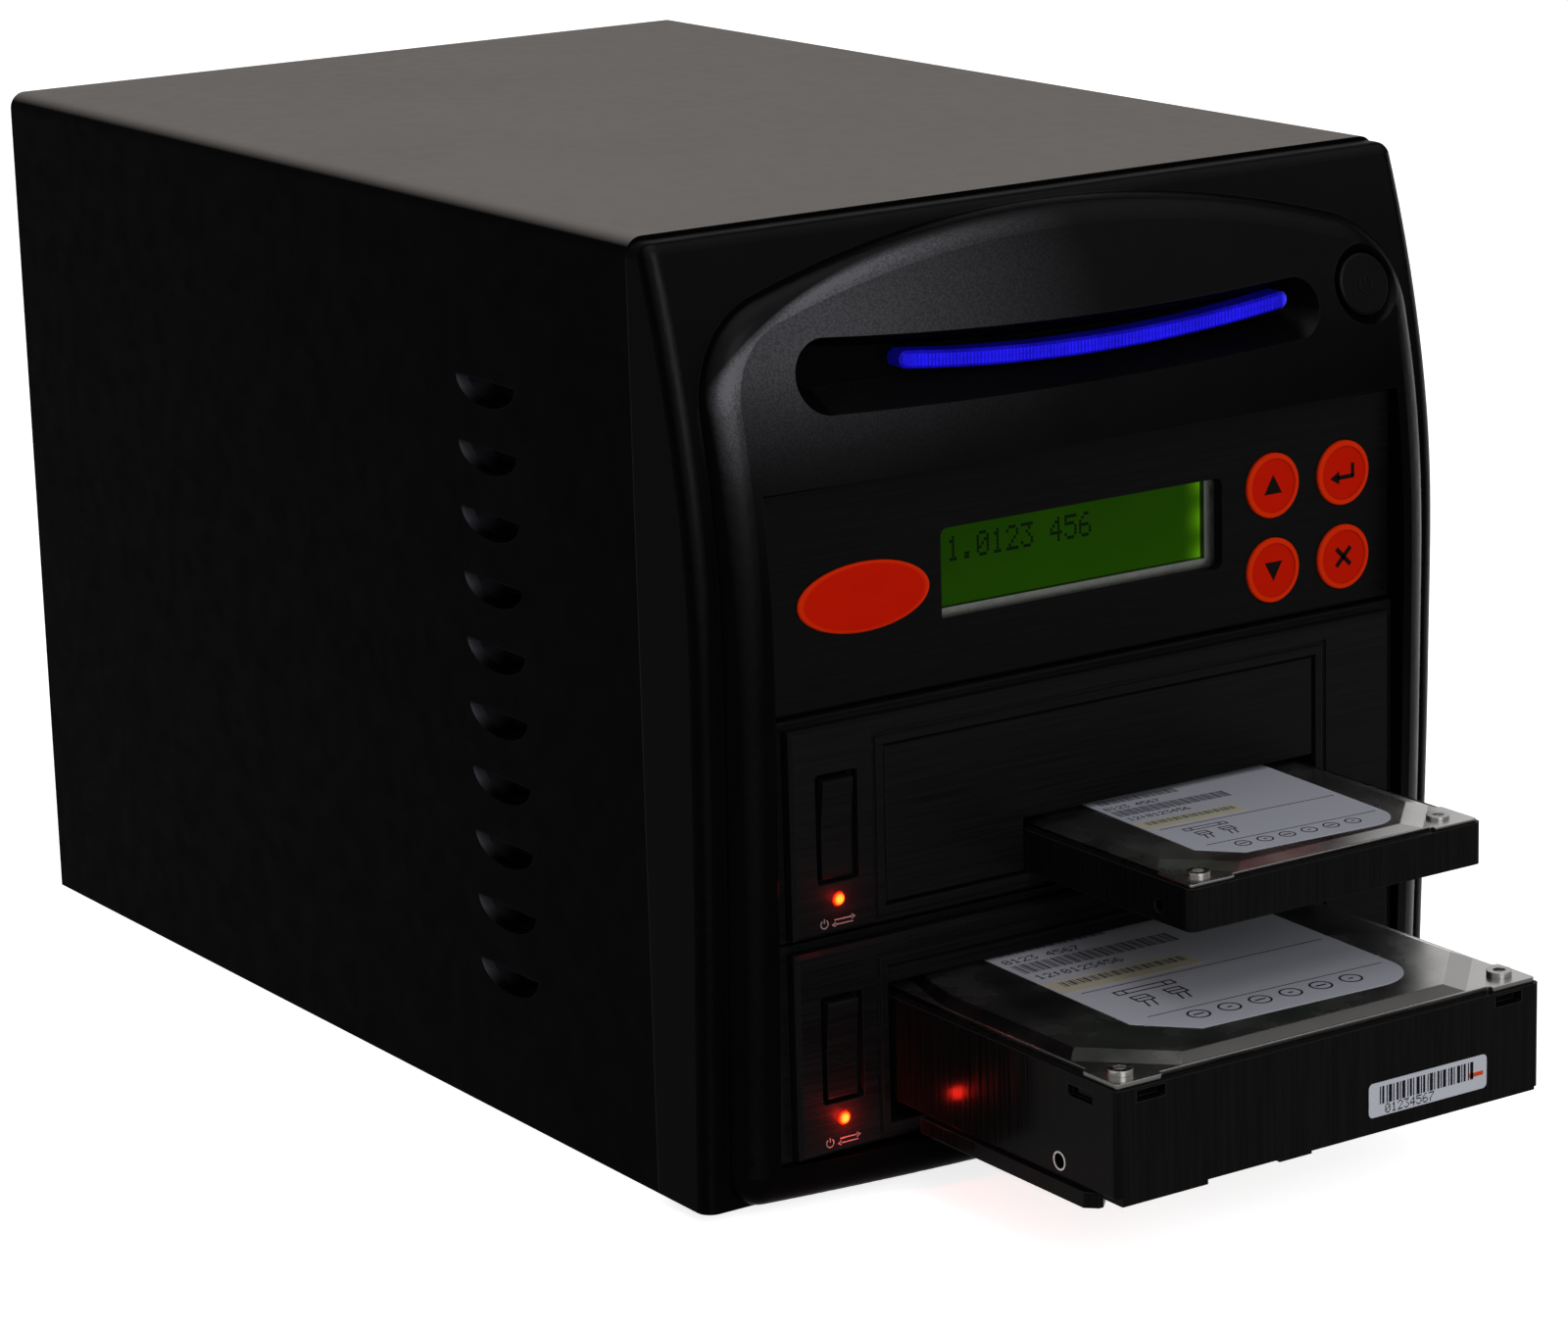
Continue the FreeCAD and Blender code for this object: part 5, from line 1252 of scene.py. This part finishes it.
@dataclass
class Drive(Assembly):
    """A hard drive's casting, lid, label and screws."""

    name: str
    label_left: float
    label_right: float
    label_front: float
    label_back: float
    turn: float = 0.0
    scale: float = 1.0
    paper: float = 0.08
    print_thick: float = 0.03
    plan: LabelPlan = LabelPlan()

    def dress(self) -> None:
        """Finish the drive and lay its label on the lid."""
        self.coat(CAST, self.name + "_casting")
        self.coat(BOARD, self.name + "_board")
        self.coat(LID, self.name + "_lid")
        self.coat(SCREW, self.name + "_screws")
        self.lay_label()

    def print_on(self, form: Form, name: str, lift: float, ink: Finish) -> None:
        """Set one layer of the label on the lid, turned as the label lies.

        Args:
            form: the drawn layer.
            name: what the layer is.
            lift: height over the lid, in millimetres.
            ink: its finish.
        """
        lid = Extent.of(self.name + "_lid")
        x = (self.label_left + self.label_right) / 2
        y = (self.label_front + self.label_back) / 2
        seat = Vector((lid.middle.x + x * MM, lid.low.y + y * MM, lid.high.z + lift * MM))
        tilt = Matrix.Rotation(math.radians(self.turn), 4, "Z")
        self.fix(form, f"{self.name}_{name}", seat, ink, self.name, "lid_steel", Facing.TOP, tilt)

    def lay_label(self) -> None:
        """White label with bars, rules, a small wiring sketch and plain rings."""
        width = self.label_right - self.label_left
        depth = self.label_back - self.label_front
        plan, k, thick = self.plan, self.scale, self.print_thick
        coarse = max(k, 0.7)
        left, low = -width / 2, -depth / 2
        corners = (-plan.cut_corner * k, plan.round_corner * k, plan.small_corner * k, plan.small_corner * k)
        self.print_on(Form().plate(width, depth, self.paper, corners), "label", 0.0, LABEL_PAPER)
        bars = Form()
        for x, y, length, high in (plan.upper_bars, plan.lower_bars):
            bars.bars(left + x * k, low + y * k, length * k, high * k, thick, coarse)
        self.print_on(bars, "label_bars", self.paper, GREY_INK)
        x, y, length, high = plan.strip
        strip = Form().block(length * k, high * k, thick, left + x * k, low + y * k)
        self.print_on(strip, "label_strip", self.paper, OLD_PAPER)
        x, y, length, high = plan.strip_bars
        marks = Form().bars(left + x * k, low + y * k, length * k, high * k, thick + 0.005, coarse)
        self.print_on(marks, "strip_bars", self.paper, GREY_INK)
        lines = Form()
        for y, inset in ((plan.upper_rule, 0.5), (plan.lower_rule, 1.5)):
            lines.block(width - (4.0 + 2.0 * inset) * k, 0.22, thick, inset * k, low + y * k)
        for text, (x, y) in (("0123 4567", plan.upper_text), ("12:0123456", plan.lower_text)):
            lines.dots(text, 0.33 * k, 0.36 * k, left + x * k, low + y * k, thick)
        self.sketch(lines, left + plan.sketch[0] * k, low + plan.sketch[1] * k)
        for index in range(plan.ring_count):
            x = left + (plan.rings[0] + index * plan.ring_pitch) * k
            y = low + plan.rings[1] * k
            lines.ring(2.1 * k, 0.42 * k, thick, x, y)
            lines.block((2.4, 1.0)[index % 2] * k, 0.5 * k, thick, x, y)
        self.print_on(lines, "label_lines", self.paper, BLACK_INK)

    def sketch(self, form: Form, x: float, y: float) -> None:
        """Small line drawing of two plugs under a socket.

        Args:
            form: the form to add to.
            x: centre to the right.
            y: centre upwards.
        """
        k, thick = self.scale, self.print_thick
        pen = 0.4 * k
        for up in (3.0, 5.0):
            form.block(13 * k, pen, thick, x, y + up * k)
        for side in (-6.5, -4.5, 4.5, 6.5):
            form.block(pen, 2.3 * k, thick, x + side * k, y + 4 * k)
        for plug in (-3.8, 3.8):
            for side in (-1.8, 1.8):
                form.block(pen, 3.0 * k, thick, x + (plug + side) * k, y - 0.6 * k)
            for up in (-2.1, -0.6, 0.9):
                form.block(3.9 * k, pen, thick, x + plug * k, y + up * k)
            for side in (-0.9, 0.9):
                form.block(pen, 3.4 * k, thick, x + (plug + side - 0.4) * k, y - 3.8 * k, turn=-14)


@dataclass
class ThreadInserts(Assembly):
    """Bright rings of the threaded side holes of the large drive."""

    steps: tuple[float, ...] = (16.9, 76.6, 118.5)
    lift: float = 6.35
    hole: float = 1.45
    wall: float = 0.38
    proud: float = 0.12
    inset: float = 1.0

    def dress(self) -> None:
        """Ring every side hole on both sides."""
        casting = Extent.of("large_drive_casting")
        left = casting.low.x + self.inset * MM
        right = casting.high.x - self.inset * MM
        for facing, x, way in ((Facing.LEFT, left, -1), (Facing.RIGHT, right, 1)):
            form = Form()
            for step in self.steps:
                form.ring(self.hole + self.wall / 2, self.wall, self.proud, way * step, self.lift)
            seat = Vector((x, casting.low.y, casting.low.z))
            name = f"side_inserts_{facing.value}"
            self.fix(form, name, seat, SCREW, "large_drive", "cast_black", facing)


@dataclass
class FrontSticker(Assembly):
    """Bar sticker on the front of the large drive."""

    width: float = 28.5
    height: float = 6.6
    x: float = 22.4
    lift: float = 9.4
    paper: float = 0.08
    print_thick: float = 0.03

    def dress(self) -> None:
        """Lay the sticker, its bars and the orange corner mark."""
        casting = Extent.of("large_drive_casting")
        seat = Vector((casting.middle.x + self.x * MM, casting.low.y, casting.low.z + self.lift * MM))
        upper = seat - Vector((0, self.paper * MM, 0))
        thick, left, right = self.print_thick, -self.width / 2, self.width / 2
        sheet = Form().plate(self.width, self.height, self.paper, (1.0,) * 4)
        bars = Form().bars(left + 2.6, 0.7, self.width - 6.4, 3.4, thick)
        bars.dots("01234567", 0.25, 0.26, left + 4.0, -1.3, thick)
        mark = Form().block(3.4, 0.8, thick, right - 2.6, -0.2)
        for form, name, place, finish in ((sheet, "front_sticker", seat, LABEL_PAPER),
                                          (bars, "front_sticker_bars", upper, BLACK_INK),
                                          (mark, "front_sticker_mark", upper, ORANGE_INK)):
            self.fix(form, name, place, finish, "large_drive", "cast_black")


@dataclass
class Rear(Assembly):
    """Fans, finger guard, screws and power supply."""

    sign_share: float = 0.24
    sign_sunk: float = 0.5

    def dress(self) -> None:
        """Finish the pieces at the back."""
        self.coat(FAN_PLASTIC, "fan_frame", "fan_rotor", "psu_fan_frame", "psu_fan_rotor")
        self.coat(SCREW, "fan_grille", "case_screws")
        self.coat(ZINC, "psu_case")
        self.coat(SWITCH_PLASTIC, "power_inlet", "mains_switch_frame", "mains_switch_rocker")
        self.mark_switch()

    def mark_switch(self) -> None:
        """Circle and stroke on the mains rocker."""
        rocker = Extent.of("mains_switch_rocker")
        away = rocker.size.z / MM * self.sign_share
        form = Form().ring(1.1, 0.35, 0.06, 0, -away).block(0.4, 2.4, 0.06, 0, away)
        seat = rocker.back() - Vector((0, self.sign_sunk * MM, 0))
        self.fix(form, "mains_switch_signs", seat, LEGEND_INK, "mains_rocker", "switch_black", Facing.BACK)


# ------------------------------------------------------------------ studio
@dataclass
class Studio:
    """Floor, soft lamps, white surroundings and the camera."""

    camera_place: tuple[float, float, float] = (-0.55963, -0.84273, 0.33675)
    azimuth: float = 33.53
    elevation: float = 14.55
    roll: float = -1.62
    lens: float = 115.75
    sensor: float = 36.0
    ambient: float = 0.45
    floor_glow: float = 0.8
    floor_half: float = 8.0
    spark_radius: float = 1.2
    spark_away: float = 1.5

    def build(self) -> None:
        """Set up everything round the object."""
        self.lay_floor()
        self.surround()
        self.lamp("overhead", (-0.1, 0.25, 1.5), 1.3, 5.0)
        self.lamp("key_light", (-0.34, -0.93, 1.24), 0.5, 3.0)
        self.lamp("front_box", (-0.35, -1.7, 0.75), 1.0, 14.0)
        self.spark("lower_rack_led", 0.013)
        self.spark("upper_rack_led", 0.004)
        self.set_camera()
        bpy.context.scene.view_settings.view_transform = "Standard"

    def seen(self, tree: bpy.types.NodeTree) -> Socket:
        """1 for what the camera sees directly, in a gloss or through glass.

        Args:
            tree: the node tree to add to.

        Returns:
            The socket of the factor.
        """
        path = tree.nodes.new("ShaderNodeLightPath")
        factor = path.outputs["Is Camera Ray"]
        for kind in ("Is Glossy Ray", "Is Transmission Ray"):
            either = tree.nodes.new("ShaderNodeMath")
            either.operation = "MAXIMUM"
            tree.links.new(factor, either.inputs[0])
            tree.links.new(path.outputs[kind], either.inputs[1])
            factor = either.outputs["Value"]
        return factor

    def lay_floor(self) -> None:
        """Wide pale floor that keeps the object's shadow."""
        shape = bpy.data.meshes.new("floor")
        mesh = bmesh.new()
        bmesh.ops.create_grid(mesh, x_segments=1, y_segments=1, size=self.floor_half)
        mesh.to_mesh(shape)
        mesh.free()
        floor = bpy.data.objects.new("floor", shape)
        bpy.context.scene.collection.objects.link(floor)
        wiring = Wiring("floor_card", (0.8, 0.8, 0.8), 0.9)
        wiring.set("Emission Color", (1.0, 1.0, 1.0))
        wiring.set("Specular IOR Level", 0.0)
        wiring.set("Emission Strength", wiring.times(self.seen(wiring.tree), self.floor_glow))
        shape.materials.append(wiring.material)

    def surround(self) -> None:
        """White where it is seen, softer where it only lights."""
        world = bpy.data.worlds.new("studio")
        bpy.context.scene.world = world
        world.use_nodes = True
        tree = world.node_tree
        tree.nodes.clear()
        out = tree.nodes.new("ShaderNodeOutputWorld")
        back = tree.nodes.new("ShaderNodeBackground")
        level = tree.nodes.new("ShaderNodeMapRange")
        level.inputs["To Min"].default_value = self.ambient
        level.inputs["To Max"].default_value = 1.0
        back.inputs["Color"].default_value = (1.0, 1.0, 1.0, 1.0)
        tree.links.new(self.seen(tree), level.inputs["Value"])
        tree.links.new(level.outputs["Result"], back.inputs["Strength"])
        tree.links.new(back.outputs["Background"], out.inputs["Surface"])

    def lamp(self, name: str, place: Sequence[float], size: float, power: float) -> None:
        """Hang one soft square lamp that looks at the object.

        Args:
            name: its name.
            place: where it hangs.
            size: side of the square in metres.
            power: watts.
        """
        data = bpy.data.lights.new(name, "AREA")
        data.size = size
        data.energy = power
        light = bpy.data.objects.new(name, data)
        light.location = place
        light.rotation_mode = "QUATERNION"
        light.rotation_quaternion = (Vector((0, 0, 0.1)) - Vector(place)).to_track_quat("-Z", "Y")
        bpy.context.scene.collection.objects.link(light)

    def spark(self, node: str, power: float) -> None:
        """Put a small red lamp just in front of an indicator.

        Args:
            node: the indicator.
            power: watts.
        """
        data = bpy.data.lights.new(node + "_spark", "POINT")
        data.shadow_soft_size = self.spark_radius * MM
        data.energy = power
        data.color = (1.0, 0.02, 0.01)
        light = bpy.data.objects.new(node + "_spark", data)
        light.location = Extent.of(node).front() - Vector((0, self.spark_away * MM, 0))
        bpy.context.scene.collection.objects.link(light)

    def set_camera(self) -> None:
        """Camera at the front left, a little above, leaning by its roll."""
        data = bpy.data.cameras.new("camera")
        data.lens = self.lens
        data.sensor_width = self.sensor
        data.clip_start, data.clip_end = 0.01, 50.0
        camera = bpy.data.objects.new("camera", data)
        az, el, roll = (math.radians(v) for v in (self.azimuth, self.elevation, self.roll))
        ahead = Vector((math.sin(az) * math.cos(el), math.cos(az) * math.cos(el), -math.sin(el)))
        right = Vector((math.cos(az), -math.sin(az), 0))
        up = right.cross(ahead)
        across = right * math.cos(roll) + up * math.sin(roll)
        above = up * math.cos(roll) - right * math.sin(roll)
        turn = Matrix((across, above, -ahead)).transposed().to_4x4()
        camera.matrix_world = Matrix.Translation(self.camera_place) @ turn
        bpy.context.scene.collection.objects.link(camera)
        bpy.context.scene.camera = camera


def main() -> None:
    """Build and dress every sub-assembly, then the studio round them."""
    logging.basicConfig(level=logging.INFO, format="%(message)s")
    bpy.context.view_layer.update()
    palette = Palette()
    Housing(palette).dress()
    PowerButton(palette).dress()
    ControlPanel(palette).dress()
    for level in ("lower", "upper"):
        Rack(palette, level).dress()
    Drive(palette, "large_drive", -28.1, 32.8, 11.6, 80.0, -2.2).dress()
    Drive(palette, "small_drive", -20.3, 23.5, 7.3, 57.3, -3.5, 0.72).dress()
    ThreadInserts(palette).dress()
    FrontSticker(palette).dress()
    Rear(palette).dress()
    Studio().build()


if __name__ == "__main__":
    main()
